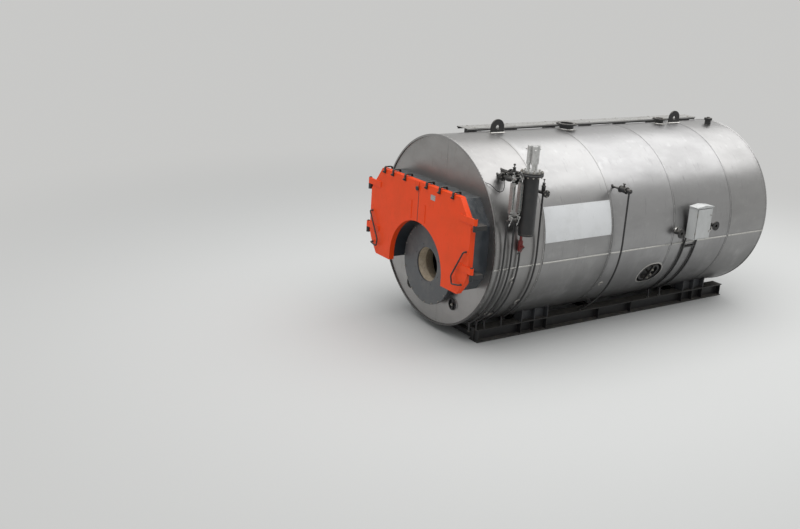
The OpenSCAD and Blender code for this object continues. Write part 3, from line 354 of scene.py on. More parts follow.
tube_bank = []
for row in range(-4, 7):
    for column in range(-14, 14):
        y, z = (column + 0.5) * tube_pitch, row * tube_pitch
        from_chamber, rise = math.hypot(y, z - chamber_drop), abs(z - exits_middle)
        returns = (math.hypot(y, z - furnace_drop) > furnace_clear
                   and from_chamber < returns_reach)
        exits = (from_chamber > exits_clear and math.hypot(y, z) < exits_reach
                 and abs(y) < exits_half and rise < exits_rise and abs(y) + rise < exits_corner)
        if returns or exits:
            tube_bank.append([(at(vessel_front - 0.001, y, z), front_way)])
weld_steel = surface("weld_metal", (0.23, 0.22, 0.215), 0.38, 0.9)
film(weld_steel, 0.03, 0.5, 0.7, (0.12, 0.075, 0.05), 0.7, 0.3)
make_along("tube_end_welds", tube_welds, guide_of(tube_bank), weld_steel,
           {"Tube Across": tube_across, "Bead": bead_across})

# Smokebox: welded boxes of plate round the tube ends, in dark blue-grey gloss enamel.
# A round sealing rope lies in a groove all round its front edge, for the doors to close on.
smokebox_front = -3.894
mouth_radius = 0.90
smokebox_enamel = surface("smokebox_enamel", (0.030, 0.036, 0.043), 0.28, eased=0.004)
film(smokebox_enamel, 0.25, 0.4, 0.7, (0.045, 0.052, 0.060), 0.36)
film(smokebox_enamel, 0.08, 0.35, 0.75, (0.15, 0.15, 0.145), 0.6,
     within=lies_up(smokebox_enamel), detail=7)
grain(smokebox_enamel, 0.006, 0.0002, detail=2)
dress(["smokebox_top", "smokebox_side_left", "smokebox_side_right", "smokebox_arch",
       "rear_smokebox", "rear_smokebox_back", "flue_outlet"], smokebox_enamel)


def shape_mesh(name, shapes, finish, slot, corner=0.0, body="boiler"):
    """One mesh out of closed shapes, each (points, faces), with its corners eased."""
    points, faces = [], []
    for shape_points, shape_faces in shapes:
        start = len(points)
        points += [tuple(p) for p in shape_points]
        faces += [tuple(i + start for i in face) for face in shape_faces]
    mesh = bpy.data.meshes.new(name)
    mesh.from_pydata(points, [], faces)
    work = bmesh.new()
    work.from_mesh(mesh)
    bmesh.ops.recalc_face_normals(work, faces=work.faces)
    work.to_mesh(mesh)
    work.free()
    mesh.shade_smooth()
    mesh.set_sharp_from_angle(angle=math.radians(35))
    mesh.materials.append(finish)
    piece = set_out(name, mesh)
    if corner:
        eased = piece.modifiers.new("eased", "BEVEL")
        eased.width = corner
        eased.segments = 2
        eased.limit_method = "ANGLE"
        eased.angle_limit = math.radians(40)
        eased.harden_normals = True
    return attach(piece, body)


def hoops(a, b, sides):
    """The faces between two rings of points that begin at a and at b."""
    return [(a + k, a + (k + 1) % sides, b + (k + 1) % sides, b + k) for k in range(sides)]


def bar(path, radius, sides, closed=False):
    """A round bar, pipe or rope along a path of points."""
    path = [Vector(p) for p in path]
    count = len(path)
    points, faces, across = [], [], None
    for i, here in enumerate(path):
        before = path[i - 1] if i or closed else here
        after = path[(i + 1) % count] if i < count - 1 or closed else here
        way = (after - before).normalized()
        if across is None:
            across = way.orthogonal().normalized()
        across = (across - way * across.dot(way)).normalized()
        up = way.cross(across)
        lean = (here - before).normalized().dot(way) if here != before else 1.0
        for k in range(sides):
            turn = 2 * math.pi * k / sides
            points.append(here + (across * math.cos(turn) + up * math.sin(turn))
                          * radius / max(lean, 0.7))
    for i in range(count if closed else count - 1):
        faces += hoops(i * sides, ((i + 1) % count) * sides, sides)
    if not closed:
        faces += [tuple(range(sides - 1, -1, -1)), tuple(range((count - 1) * sides, count * sides))]
    return points, faces


def arc(x, drop, radius, start, end, count):
    """Points on an arc across the boiler, its angles from +Y towards +Z."""
    turns = [start + (end - start) * i / count for i in range(count + 1)]
    return [at(x, radius * math.cos(t), drop + radius * math.sin(t)) for t in turns]


rope_x, rope_foot, rope_radius = smokebox_front + 0.002, -0.689, 0.007
rope_corners = [(1.2929, rope_foot), (1.4347, -0.5075), (1.515, -0.341), (1.515, 0.4670),
                (1.1954, 0.885)]
rope_path = [at(rope_x, y, z) for y, z in rope_corners]
rope_path += [at(rope_x, -y, z) for y, z in reversed(rope_corners)]
rope_path += [at(rope_x, -mouth_radius, rope_foot)]
rope_path += arc(rope_x, furnace_drop, mouth_radius, math.pi, 0, 48)
rope_path += [at(rope_x, mouth_radius, rope_foot)]
rope_yarn = surface("sealing_rope", (0.42, 0.41, 0.37), 0.95)
film(rope_yarn, 0.01, 0.4, 0.6, (0.25, 0.24, 0.21), 0.95, detail=2)
grain(rope_yarn, 0.006, 0.002, detail=3)
shape_mesh("smokebox_sealing_rope", [bar(rope_path, rope_radius, 8, closed=True)],
           rope_yarn, "refractory")

# Burner plate and refractory: a thick plate in heat-proof grey, bolted round its rim to the
# furnace mouth, over a ring of buff castable that flares towards the flame.
burner_face, burner_circle = -3.715, 0.728
burner_grey = surface("burner_plate_grey", (0.10, 0.105, 0.11), 0.42, 0.3, eased=0.003)
film(burner_grey, 0.2, 0.45, 0.7, (0.14, 0.14, 0.14), 0.55, detail=6)
grain(burner_grey, 0.008, 0.0003, detail=3)
dress(["burner_plate"], burner_grey)

castable = surface("refractory_castable", (0.50, 0.42, 0.31), 0.95)
film(castable, 0.07, 0.35, 0.7, (0.62, 0.55, 0.43), 0.95, detail=8)
film(castable, 0.02, 0.6, 0.7, (0.25, 0.20, 0.15), 0.95, detail=6, shift=3)
grain(castable, 0.012, 0.002, detail=8)
dress(["burner_refractory"], castable)

bolts, given = new_tree("hexagon_bolts", {
    "Head Across": 0.024, "Head Height": 0.010, "Washer Across": 0.030,
    "Washer Thickness": 0.003, "Stud Across": 0.016, "Stud Length": 0.004})


def lifted(tree, geometry, height):
    """Moves a shape up its own Z by a height that is itself a size of the tree."""
    up = wire(tree, "ShaderNodeCombineXYZ", {"Z": height}).outputs[0]
    return wire(tree, "GeometryNodeTransform", {"Geometry": geometry,
                                                "Translation": up}).outputs[0]


def drum(tree, sides, across, share, height, foot=None):
    """A short drum that stands on a height, its radius a share of its width across."""
    made = wire(tree, "GeometryNodeMeshCylinder", {
        "Vertices": sides, "Radius": times(tree, across, share), "Depth": height})
    middle = times(tree, height, 0.5)
    return lifted(tree, made.outputs[0],
                  middle if foot is None else maths(tree, "ADD", foot, middle))


top = maths(bolts, "ADD", given["Washer Thickness"], given["Head Height"])
crown = wire(bolts, "GeometryNodeMeshCone", {
    "Vertices": 12, "Radius Top": times(bolts, given["Head Across"], 0.36),
    "Radius Bottom": times(bolts, given["Head Across"], 0.49),
    "Depth": times(bolts, given["Head Height"], 0.16)})
whole = wire(bolts, "GeometryNodeJoinGeometry", {})
for part in (drum(bolts, 16, given["Washer Across"], 0.5, given["Washer Thickness"]),
             drum(bolts, 6, given["Head Across"], 0.577, given["Head Height"],
                  given["Washer Thickness"]),
             lifted(bolts, crown.outputs[0], top),
             drum(bolts, 10, given["Stud Across"], 0.5, given["Stud Length"], top)):
    bolts.links.new(part, whole.inputs[0])
turned_any_way = wire(bolts, "FunctionNodeRandomValue", {"Min": 0.0, "Max": 1.04, "Seed": 5},
                      data_type="FLOAT").outputs[1]
spun = wire(bolts, "FunctionNodeRotateRotation", {
    "Rotation": along_guide(bolts),
    "Rotate By": wire(bolts, "FunctionNodeAxisAngleToRotation", {
        "Axis": (0, 0, 1), "Angle": turned_any_way}).outputs[0]},
    rotation_space="LOCAL").outputs[0]
close_tree(bolts, given, stand_on(bolts, given["Guide"], whole.outputs[0], spun), smooth=False)

zinc = surface("zinc_bolts", (0.38, 0.37, 0.34), 0.38, 0.9)
film(zinc, 0.02, 0.45, 0.7, (0.22, 0.19, 0.15), 0.6, 0.6)
bolt_measures = ("Head Across", "Head Height", "Washer Across", "Washer Thickness",
                 "Stud Across", "Stud Length")


def bolt_up(name, places, sizes, finish=zinc, body="boiler"):
    """Bolts on single points: width and height of the head, then the washer, then the stud."""
    return make_along(name, bolts, guide_of(places), finish,
                      dict(zip(bolt_measures, sizes)), body)


def ring_of(count, centre, radius, way, start=0.0):
    """Points spaced round a circle that faces `way`, as one run."""
    way = Vector(way)
    across = way.orthogonal().normalized()
    up = way.cross(across)
    turns = [2 * math.pi * (i + start) / count for i in range(count)]
    return [(Vector(centre) + (across * math.cos(t) + up * math.sin(t)) * radius, way)
            for t in turns]


def circle_of(count, centre, radius, way):
    """Single points round a circle, for the bolts of a flange."""
    return [[place] for place in ring_of(count, centre, radius, way, 0.5)]


bolt_up("burner_plate_bolts",
        circle_of(20, at(burner_face, 0, furnace_drop), burner_circle, front_way),
        (0.024, 0.010, 0.032, 0.003, 0.016, 0.004))

# Jacket: five courses of thin stainless sheet round the insulation, each lapped over the next
# and screwed along its seams. Rolled smooth, a little dull from handling, faintly dented.
clad_radius = 1.750
front_rim, rear_rim = -3.585, 3.585
course_breaks = [-2.475, -0.825, 0.825, 2.475]
lap_width, lap_rise = 0.036, 0.004
long_seam_angle = math.radians(8.15)
sheet_tints = [(0.348, 0.342, 0.338), (0.370, 0.367, 0.366), (0.377, 0.374, 0.376),
               (0.361, 0.358, 0.359), (0.372, 0.368, 0.366)]


def shade(colour, share):
    return tuple(c * share for c in colour)


course_ends = [front_rim, *course_breaks, rear_rim]
for number, tint in enumerate(sheet_tints):
    sheet = surface(f"stainless_sheet_{number + 1}", tint, 0.34, 1.0)
    place = wire(sheet, "ShaderNodeTexCoord", {}).outputs["Object"]
    spot = wire(sheet, "ShaderNodeSeparateXYZ", {0: place}).outputs
    drop = maths(sheet, "SUBTRACT", spot["Z"], axis_height)
    from_axis = wire(sheet, "ShaderNodeCombineXYZ", {"Y": spot["Y"], "Z": drop}).outputs[0]
    outwards = wire(sheet, "ShaderNodeVectorMath", {0: from_axis},
                    operation="NORMALIZE").outputs[0]
    flat = wire(sheet, "ShaderNodeNewGeometry", {}).outputs["Normal"]
    # the facets of the course are shaded as one rolled sheet
    rolled = wire(sheet, "ShaderNodeMix", {
        0: between(sheet, alike(sheet, outwards, flat), 0.985, 0.995), 4: flat, 5: outwards},
        data_type="VECTOR")
    sheet.node_tree.links.new(rolled.outputs[1], shader_of(sheet).inputs["Normal"])
    shift = number * 3.7
    # films of dust and handling, cloudy along the boiler, and bright rubbed patches
    film(sheet, 0.8, 0.35, 0.75, shade(tint, 0.86), 0.42, stretch=(1.6, 1, 0.7), detail=5,
         shift=shift)
    film(sheet, 0.22, 0.55, 0.8, shade(tint, 1.1), 0.27, detail=6, shift=shift + 1)
    # runs of dried rain down the sides
    film(sheet, 0.05, 0.58, 0.78, shade(tint, 0.8), 0.5, stretch=(0.8, 4, 9), shift=shift + 2)
    # painted shade: the sheet darkens in clouds towards the belly
    film(sheet, 0.5, 0.1, 0.6, shade(tint, 0.48), 0.46, within=between(sheet, drop, 0.35, -1.35),
         stretch=(1, 1, 2), detail=6, shift=shift + 3)
    # dust and painted shade: a dark line in the laps at each course's ends, below the upper side
    ahead = maths(sheet, "SUBTRACT", spot["X"], course_ends[number])
    behind = maths(sheet, "SUBTRACT", course_ends[number + 1], spot["X"])
    from_edge = maths(sheet, "MINIMUM", ahead, behind)
    low_lap_dust_and_shade = times(sheet, between(sheet, from_edge, 0.020, 0.002),
                     between(sheet, drop, 1.2, 0.4))
    film(sheet, 0.12, 0.25, 0.6, shade(tint, 0.40), 0.6, within=low_lap_dust_and_shade, detail=5,
         shift=shift + 4)
    # the sheet draws in towards its screwed edges
    relief(sheet, between(sheet, from_edge, 0.0, 0.14), 0.003)
    # low buckles of the sheet, then its rolled grain
    grain(sheet, 0.7, 0.010, stretch=(1.2, 1, 1), detail=1.5, shift=shift + 5)
    grain(sheet, 0.0025, 0.00006, stretch=(1, 24, 24), detail=2, shift=shift)
    dress([f"jacket_course_{number + 1}"], sheet)


def spaced_along(tree, given, spacing):
    """The guide's lines as curves, with points spaced evenly along them."""
    line = wire(tree, "GeometryNodeMeshToCurve", {"Mesh": given["Guide"]})
    return wire(tree, "GeometryNodeResampleCurve", {
        "Curve": line.outputs[0], "Length": given[spacing]}, mode="LENGTH").outputs[0]


screws, given = new_tree("dome_screws", {"Spacing": 0.15, "Head Across": 0.013,
                                         "Head Height": 0.005})
spaced = spaced_along(screws, given, "Spacing")
half_across = times(screws, given["Head Across"], 0.5)
dome = wire(screws, "GeometryNodeMeshUVSphere", {"Segments": 8, "Rings": 5,
                                                 "Radius": half_across})
flatness = wire(screws, "ShaderNodeCombineXYZ", {
    "X": 1.0, "Y": 1.0, "Z": maths(screws, "DIVIDE", given["Head Height"], half_across)})
low_dome = wire(screws, "GeometryNodeTransform", {"Geometry": dome.outputs[0],
                                                  "Scale": flatness.outputs[0]})
close_tree(screws, given, stand_on(screws, spaced, low_dome.outputs[0], along_guide(screws)))


def on_jacket(x, angle, lift):
    """A point on the jacket and its way out, at an angle above the level on the -Y side."""
    way = Vector((0, -math.cos(angle), math.sin(angle)))
    return at(x, 0, 0) + way * (clad_radius + lift), way


def round_jacket(x, start, end, lift, step=2.0):
    """A run of such points round the jacket, from one angle to another in degrees."""
    count = max(2, int(abs(end - start) / step))
    return [on_jacket(x, math.radians(start + (end - start) * i / count), lift)
            for i in range(count + 1)]


screw_steel = surface("jacket_screws", (0.50, 0.49, 0.47), 0.3, 1.0)
film(screw_steel, 0.012, 0.5, 0.7, (0.28, 0.26, 0.23), 0.5)


def screw_down(name, runs, spacing, across=0.013, height=0.005, finish=screw_steel,
               body="boiler"):
    """Dome heads spaced along runs of points."""
    make_along(name, screws, guide_of(runs), finish,
               {"Spacing": spacing, "Head Across": across, "Head Height": height}, body)


seam_end_gap, rim_screw_gap = 0.05, 0.060
seam_runs, seam_folds = [], []
for x in course_breaks:
    stops = [(-35, 85), (95, 215)] if abs(x) > 2 else [(-60, 240)]
    if x == course_breaks[2]:
        stops = [(-18, 198)]
    seam_runs += [round_jacket(x - lap_width / 2, a, b, lap_rise) for a, b in stops]
# the long seams are folded over outwards, and the folds are notched for the cabinet's legs
leg_backs, leg_gap = (1.175, 1.505), 0.036
fold_gap, fold_lean, fold_radius = 0.012, 0.0085, 0.015
fold_stops = [front_rim + fold_gap, rear_rim - fold_gap]
for x in course_breaks:
    fold_stops += [x - lap_width - fold_gap, x + fold_gap]
for x in leg_backs:
    fold_stops += [x - leg_gap, x + leg_gap]
fold_stops.sort()
for side in (0, 1):
    angle = math.pi + long_seam_angle if side else -long_seam_angle
    for x0, x1 in zip(course_ends, [b - lap_width for b in course_breaks] + [rear_rim]):
        seam_runs.append([on_jacket(x, angle, lap_rise / 2)
                          for x in (x0 + seam_end_gap, x1 - seam_end_gap)])
    for x0, x1 in zip(fold_stops[::2], fold_stops[1::2]):
        first, last = (on_jacket(x, angle + (fold_lean if side else -fold_lean), 0.0005)[0]
                       for x in (x0, x1))
        seam_folds.append(bar([first, first * 0.5 + last * 0.5, last], fold_radius, 12))
screw_down("jacket_seam_screws", seam_runs, 0.15)
# the folds are a lighter steel than the sheets, a painted highlight along each long seam
fold_steel_painted_highlight = surface("folded_seams_painted_highlight", (0.52, 0.515, 0.49), 0.48, 1.0)
film(fold_steel_painted_highlight, 0.09, 0.55, 0.75, (0.34, 0.33, 0.31), 0.55, stretch=(0.4, 1, 1), detail=5)
shape_mesh("jacket_seam_folds", seam_folds, fold_steel_painted_highlight, "stainless_sheet")
screw_down("jacket_rim_screws", [
    round_jacket(x, 0, 360, 0, 3) for x in (front_rim + rim_screw_gap, rear_rim - rim_screw_gap)],
    0.12)

# End covers: flat discs of the same sheet let in behind the rims, in two halves with a lapped
# joint beside the middle, and screwed to the jacket's turned edge.
cover_face, rear_cover_face = -3.565, 3.565
cover_radius, cover_screw_gap = 1.722, 0.030
joint_half, joint_thickness, joint_end_gap = 0.020, 0.002, 0.05
cover_steel = surface("stainless_cover", (0.392, 0.383, 0.378), 0.36, 1.0)
film(cover_steel, 0.9, 0.35, 0.7, (0.325, 0.318, 0.311), 0.45, stretch=(1, 1.5, 0.8), detail=5)
film(cover_steel, 0.05, 0.6, 0.8, (0.30, 0.28, 0.25), 0.5, stretch=(1, 0.8, 7), shift=2)
grain(cover_steel, 0.6, 0.008, detail=1.5)
grain(cover_steel, 0.0025, 0.00006, stretch=(1, 24, 1), detail=2)
dress(["jacket_front_cover", "jacket_rear_cover"], cover_steel)


def block(low, high, place=None):
    """A plain box between two corners, turned by place where one is given."""
    points = [Vector((x, y, z)) for z in (low[2], high[2]) for y in (low[1], high[1])
              for x in (low[0], high[0])]
    if place is not None:
        points = [place @ p for p in points]
    return points, [(0, 2, 3, 1), (4, 5, 7, 6), (0, 1, 5, 4), (1, 3, 7, 5), (3, 2, 6, 7),
                    (2, 0, 4, 6)]


def facing(way, *points):
    """A run of points that all face one way."""
    return [(point, way) for point in points]


cover_joints, joint_screws, cover_rims = [], [], []
for face, way, y, spans in (
        (cover_face, -1, -0.165, ((0.905, 1.70), (-1.70, -1.345))),
        (rear_cover_face, 1, 0.165, ((0.72, 1.70), (-1.70, -1.12)))):
    outer = face + way * joint_thickness
    for z0, z1 in spans:
        cover_joints.append(block(at(min(face, outer), y - joint_half, z0),
                                  at(max(face, outer), y + joint_half, z1)))
        joint_screws.append(facing((way, 0, 0), at(outer, y, z0 + joint_end_gap),
                                   at(outer, y, z1 - joint_end_gap)))
    cover_rims.append(facing((way, 0, 0), *arc(face, 0, cover_radius - cover_screw_gap, 0,
                                               2 * math.pi, 120)))
shape_mesh("cover_joint_strips", cover_joints, cover_steel, "stainless_sheet", 0.0006)
screw_down("cover_joint_screws", joint_screws, 0.12)
screw_down("cover_rim_screws", cover_rims, 0.10, 0.014)

# Hinges: flame-cut brackets on the smokebox sides with upright pins, black, the pins greased
# and kept in by a plain ring over each knuckle. The brackets are welded to the side plates.
hinge_line = (-3.985, 1.662)
hinge_heights = (0.560, -0.300)
knuckle_height = 0.110
black_enamel = surface("black_enamel", (0.016, 0.016, 0.017), 0.38, eased=0.003)
film(black_enamel, 0.15, 0.4, 0.7, (0.024, 0.023, 0.022), 0.5, detail=6)
film(black_enamel, 0.06, 0.3, 0.7, (0.13, 0.12, 0.105), 0.8, within=lies_up(black_enamel),
     detail=7)
film(black_enamel, 0.03, 0.5, 0.62, (0.16, 0.12, 0.09), 0.6,
     within=corners(black_enamel, 0.004), detail=6, shift=2)
grain(black_enamel, 0.005, 0.00015, detail=2)
dress(["hinge_brackets"], black_enamel)
# the finish of every black part, passed along with the name black_paint
black = (black_enamel, "black_paint")
left_way, right_way, up_way, down_way = (0, -1, 0), (0, 1, 0), (0, 0, 1), (0, 0, -1)


def stood(point, way, side=None):
    """The place that stands a part's own Z along a way out of a point."""
    way = Vector(way).normalized()
    across = Vector(side) if side is not None else way.orthogonal()
    across = (across - way * across.dot(way)).normalized()
    turn = Matrix((across, way.cross(across), way)).transposed().to_4x4()
    return Matrix.Translation(Vector(point)) @ turn


def turned(profile, point, way, sides=24):
    """A turned part: (radius, height) steps along a way out of a point, closed at both ends."""
    place = stood(point, way)
    turns = [2 * math.pi * k / sides for k in range(sides)]
    points = [place @ Vector((radius * math.cos(t), radius * math.sin(t), height))
              for radius, height in profile for t in turns]
    faces = []
    for start in range(0, len(points) - sides, sides):
        faces += hoops(start, start + sides, sides)
    last = len(points) - sides
    faces += [tuple(range(sides - 1, -1, -1)), tuple(range(last, last + sides))]
    return points, faces


shape_mesh("hinge_pin_rings", [
    turned([(0.026, 0.0008), (0.027, 0.002), (0.027, 0.009), (0.025, 0.011), (0.018, 0.011),
            (0.016, 0.016), (0.004, 0.018)],
           at(hinge_line[0], side * hinge_line[1], height + knuckle_height), up_way)
    for side in (1, -1) for height in hinge_heights], *black)

# Doors: two leaves of folded plate in orange enamel, each hung on two strap hinges that are
# welded to its face. The enamel is glossy, a little cloudy, chipped to primer at its corners.
door_face = -4.005
leaves = {"door_left": 1, "door_right": -1}
orange_enamel = surface("orange_enamel", (0.85, 0.062, 0.004), 0.36, eased=0.003)
shader_of(orange_enamel).inputs["Specular IOR Level"].default_value = 0.28
film(orange_enamel, 0.45, 0.35, 0.7, (0.77, 0.062, 0.006), 0.44, detail=5)
film(orange_enamel, 0.04, 0.6, 0.8, (0.60, 0.056, 0.010), 0.55, stretch=(1, 0.7, 6), shift=3)
film(orange_enamel, 0.03, 0.56, 0.64, (0.20, 0.075, 0.045), 0.7,
     within=corners(orange_enamel, 0.005), detail=7, shift=1)
grain(orange_enamel, 0.5, 0.003, detail=1.5)
grain(orange_enamel, 0.004, 0.00012, detail=2)
dress(list(leaves), orange_enamel)

welds, given = new_tree("weld_beads", {"Width": 0.010, "Ripple": 0.004})
rough = wire(welds, "ShaderNodeTexNoise", {"Scale": 260.0, "Detail": 1.0})
swell = wire(welds, "ShaderNodeMapRange", {"Value": rough.outputs["Fac"], "From Min": 0.3,
             "From Max": 0.7, "To Min": 0.75, "To Max": 1.2})
half_width = times(welds, given["Width"], 0.5)
swept = wire(welds, "GeometryNodeCurveToMesh", {
    "Curve": spaced_along(welds, given, "Ripple"), "Profile Curve": hoop(welds, 6, 1.0),
    "Scale": times(welds, half_width, swell.outputs[0]), "Fill Caps": True})
close_tree(welds, given, swept.outputs[0])


def weld_on(name, runs, finish, slot, width, ripple, closed=False, body="boiler"):
    """Beads of weld along runs of points, in ripples of a length."""
    make_along(name, welds, guide_of(runs, closed), finish,
               {"Width": width, "Ripple": ripple}, body)


# upright flat bars beside the joint of the leaves stiffen each one
door_bar_middle, door_bar_width, door_bar_thick = 0.215, 0.036, 0.010
bar_foot, bar_top = 0.235, 0.560
strap_tip, strap_root = 1.245, 1.560
for leaf, side in leaves.items():
    y0, y1 = (side * door_bar_middle + dy for dy in (-door_bar_width / 2, door_bar_width / 2))
    weld_x = door_face - 0.001
    strap_welds = [facing(front_way, *(
        at(weld_x, side * y, z) for y, z in (
            (strap_root, height), (strap_tip, height), (strap_tip, height + knuckle_height),
            (strap_root, height + knuckle_height)))) for height in hinge_heights]
    strap_welds += [facing(front_way, at(weld_x, y, bar_foot), at(weld_x, y, bar_top))
                    for y in (y0, y1)]
    weld_on(f"hinge_strap_welds_{leaf[5:]}", strap_welds, orange_enamel, "orange_paint", 0.012,
            0.005, body=leaf)
    shape_mesh(f"door_stiffener_{leaf[5:]}", [block(
        at(door_face - door_bar_thick, y0, bar_foot), at(door_face, y1, bar_top))],
        orange_enamel, "orange_paint", 0.003, leaf)

zinc_plate = surface("zinc_plate", (0.46, 0.46, 0.45), 0.42, 0.8)
film(zinc_plate, 0.03, 0.4, 0.7, (0.34, 0.34, 0.33), 0.55, detail=5)
grain(zinc_plate, 0.004, 0.0002)
# a small blank plate is riveted high on the right leaf
plate_low, plate_high, plate_edge = (-0.510, 0.705), (-0.370, 0.800), 0.010
plate_face = door_face - 0.002
shape_mesh("door_blank_plate", [block(at(plate_face, *plate_low), at(door_face, *plate_high))],
           zinc_plate, "orange_paint", 0.0006, "door_right")
screw_down("door_plate_rivets", [
    facing(front_way, at(plate_face, y, plate_low[1] + plate_edge),
           at(plate_face, y, plate_high[1] - plate_edge))
    for y in (plate_low[0] + plate_edge, plate_high[0] - plate_edge)],
    0.075, 0.008, 0.003, zinc, "door_right")

# Door lining: boards of ceramic fibre over each leaf's inside, held by pins with round washers
# that stand in rows. The fibre is buff, sooted in clouds and a little lumpy.
lining_face = -3.905
fibre = surface("fibre_lining", (0.66, 0.63, 0.56), 0.97)
film(fibre, 0.15, 0.4, 0.7, (0.50, 0.45, 0.38), 0.97, detail=7)
film(fibre, 0.4, 0.55, 0.75, (0.22, 0.20, 0.18), 0.97, detail=5, shift=2)
grain(fibre, 0.02, 0.002, detail=7)
dress(["door_lining_left", "door_lining_right"], fibre)
pin_start, pin_step = (0.11, -0.62), (0.19, 0.185)
pin_places = [(pin_start[0] + pin_step[0] * column, pin_start[1] + pin_step[1] * row)
              for row in range(9) for column in range(8)]
for leaf, side in leaves.items():
    pins = [[(at(lining_face, side * y, z), rear_way)] for y, z in pin_places
            if (z < 0.86 and y + (z - 0.49) * 0.77 < 1.48 and y < 1.49
                and y < 1.44 + (z + 0.5) * 0.5
                and math.hypot(y, z - furnace_drop) > mouth_radius)]
    bolt_up(f"lining_pins_{leaf[5:]}", pins,
            (0.010, 0.003, 0.034, 0.0015, 0.005, 0.003), body=leaf)

# Door clamps and handles: flat bars bent over from each leaf on to the smokebox, each drawn up
# with a nut, a bent round handle low on each leaf, and a turned knob beside the joint. All black.
clamp_places = {"door_left": (0.450, 0.850, 1.130), "door_right": (-0.240, -0.635, -1.030)}
clamp_width, clamp_thickness = 0.046, 0.020
clamp_foot, clamp_rise, bend_radius = -3.861, 0.040, 0.030
door_top = 0.945
handle_places = ((1.500, 0.060), (1.200, -0.440), (1.235, -0.580), (1.430, -0.545))
handle_reach = 0.060


def bent(stops, radius, count=6):
    """A path of straight runs from stop to stop, with a bend at each one between."""
    stops = [Vector(p) for p in stops]
    run = [stops[0]]
    for before, here, after in zip(stops, stops[1:], stops[2:]):
        into = here + (before - here).normalized() * radius
        out = here + (after - here).normalized() * radius
        run += [into.lerp(here, k / count).lerp(here.lerp(out, k / count), k / count)
                for k in range(count + 1)]
    return run + [stops[-1]]


def flat_bar(path, across, width, thickness):
    """A flat bar bent along a path, its width lying across it."""
    across = Vector(across)
    points, faces = [], []
    for i, here in enumerate(path):
        way = (path[min(i + 1, len(path) - 1)] - path[max(i - 1, 0)]).normalized()
        out = way.cross(across)
        points += [here + across * (width * a / 2) + out * (thickness * b / 2)
                   for a, b in ((-1, -1), (1, -1), (1, 1), (-1, 1))]
    last = len(points) - 4
    for i in range(0, last, 4):
        faces += hoops(i, i + 4, 4)
    return points, faces + [(3, 2, 1, 0), (last, last + 1, last + 2, last + 3)]


for leaf, places in clamp_places.items():
    side = leaves[leaf]
    leg, over = door_face - clamp_thickness / 2 - 0.0003, door_top + clamp_rise
    fittings = []
    for y in places:
        hook = [at(leg, y, door_top - 0.080), at(leg, y, over), at(clamp_foot, y, over),
                at(clamp_foot, y, door_top - 0.008)]
        fittings.append(flat_bar(bent(hook, bend_radius), right_way, clamp_width, clamp_thickness))
        fittings.append(turned([(0.024, 0.0), (0.024, 0.018), (0.020, 0.021)],
                               at(door_face - clamp_thickness, y, door_top - 0.050),
                               front_way, 6))
    grip = [at(door_face - handle_reach, side * y, z) for y, z in handle_places]
    ends = [Vector((door_face - 0.0003, *p.yz)) for p in (grip[0], grip[-1])]
    fittings.append(bar(bent([ends[0], *grip, ends[1]], bend_radius), 0.0145, 12))
    if side > 0:
        fittings.append(turned([(0.024, 0.0003), (0.024, 0.008), (0.040, 0.012), (0.044, 0.022),
                                (0.040, 0.032), (0.024, 0.036)],
                               at(door_face, 0.032, door_top - 0.125), front_way))
        # a black sealing strip fills the joint of the leaves under the knob
        fittings.append(block(at(door_face - 0.001, -0.0065, 0.222),
                              at(door_face + 0.030, 0.0078, door_top - 0.160)))
    fittings = shape_mesh(f"clamps_and_handle_{leaf[5:]}", fittings, *black, 0.002, leaf)
    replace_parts(fittings, f"door_clamps_{leaf[5:]}")
    studs = [facing(front_way, at(door_face - 0.041, y, door_top - 0.050)) for y in places]
    bolt_up(f"clamp_studs_{leaf[5:]}", studs,
            (0.026, 0.010, 0.030, 0.003, 0.016, 0.010), black_enamel, leaf)
    feet = [turned([(0.022, -0.0005), (0.022, 0.003), (0.017, 0.008), (0.014, 0.008)],
                   at(door_face, side * y, z), front_way)
            for y, z in (handle_places[0], handle_places[-1])]
    shape_mesh(f"handle_feet_{leaf[5:]}", feet, *black, body=leaf)

# Handholes: short necks through the cover with an inside door, pulled up against it by a stud
# and a bridge. A formed collar of sheet closes the gap round each neck.
handhole_places = ((0.680, -1.210), (-0.680, -1.210))
dress(["front_handholes", "side_manholes"], black_enamel)
bolt_up("handhole_nuts", [facing(front_way, at(cover_face - 0.022, y, z))
                          for y, z in handhole_places],
        (0.036, 0.016, 0.050, 0.004, 0.022, 0.010))


def hollow(profile, point, way, sides=48):
    """A turned part that is open in the middle: its last step joins its first."""
    points, faces = turned(profile, point, way, sides)
    return points, faces[:-2] + hoops(len(points) - sides, 0, sides)


neck, neck_collar = 0.1100, 0.142
shape_mesh("handhole_collars", [
    hollow([(neck, 0.0002), (neck_collar, 0.0002), (neck_collar, 0.002), (neck + 0.006, 0.002),
            (neck + 0.001, 0.010), (neck, 0.010)], at(cover_face, y, z), front_way)
    for y, z in handhole_places], cover_steel, "stainless_sheet")

# Manholes: obround necks low on both sides. The inside cover hangs on a bridge across the neck
# by two studs with nuts, and a collar of sheet closes the jacket round it.
manhole_place, manhole_tilt = front_rim + 4.150, math.radians(30.4)
manhole_hole, bridge_half = (0.590, 0.490), 0.110


def over_jacket(x, sideways, way, lift):
    """A point over the jacket, sideways of a line that runs out of its axis along way."""
    way = Vector(way)
    across = Vector((1, 0, 0)).cross(way)
    out = math.sqrt((clad_radius + lift) ** 2 - sideways ** 2)
    return at(x, 0, 0) + across * sideways + way * out


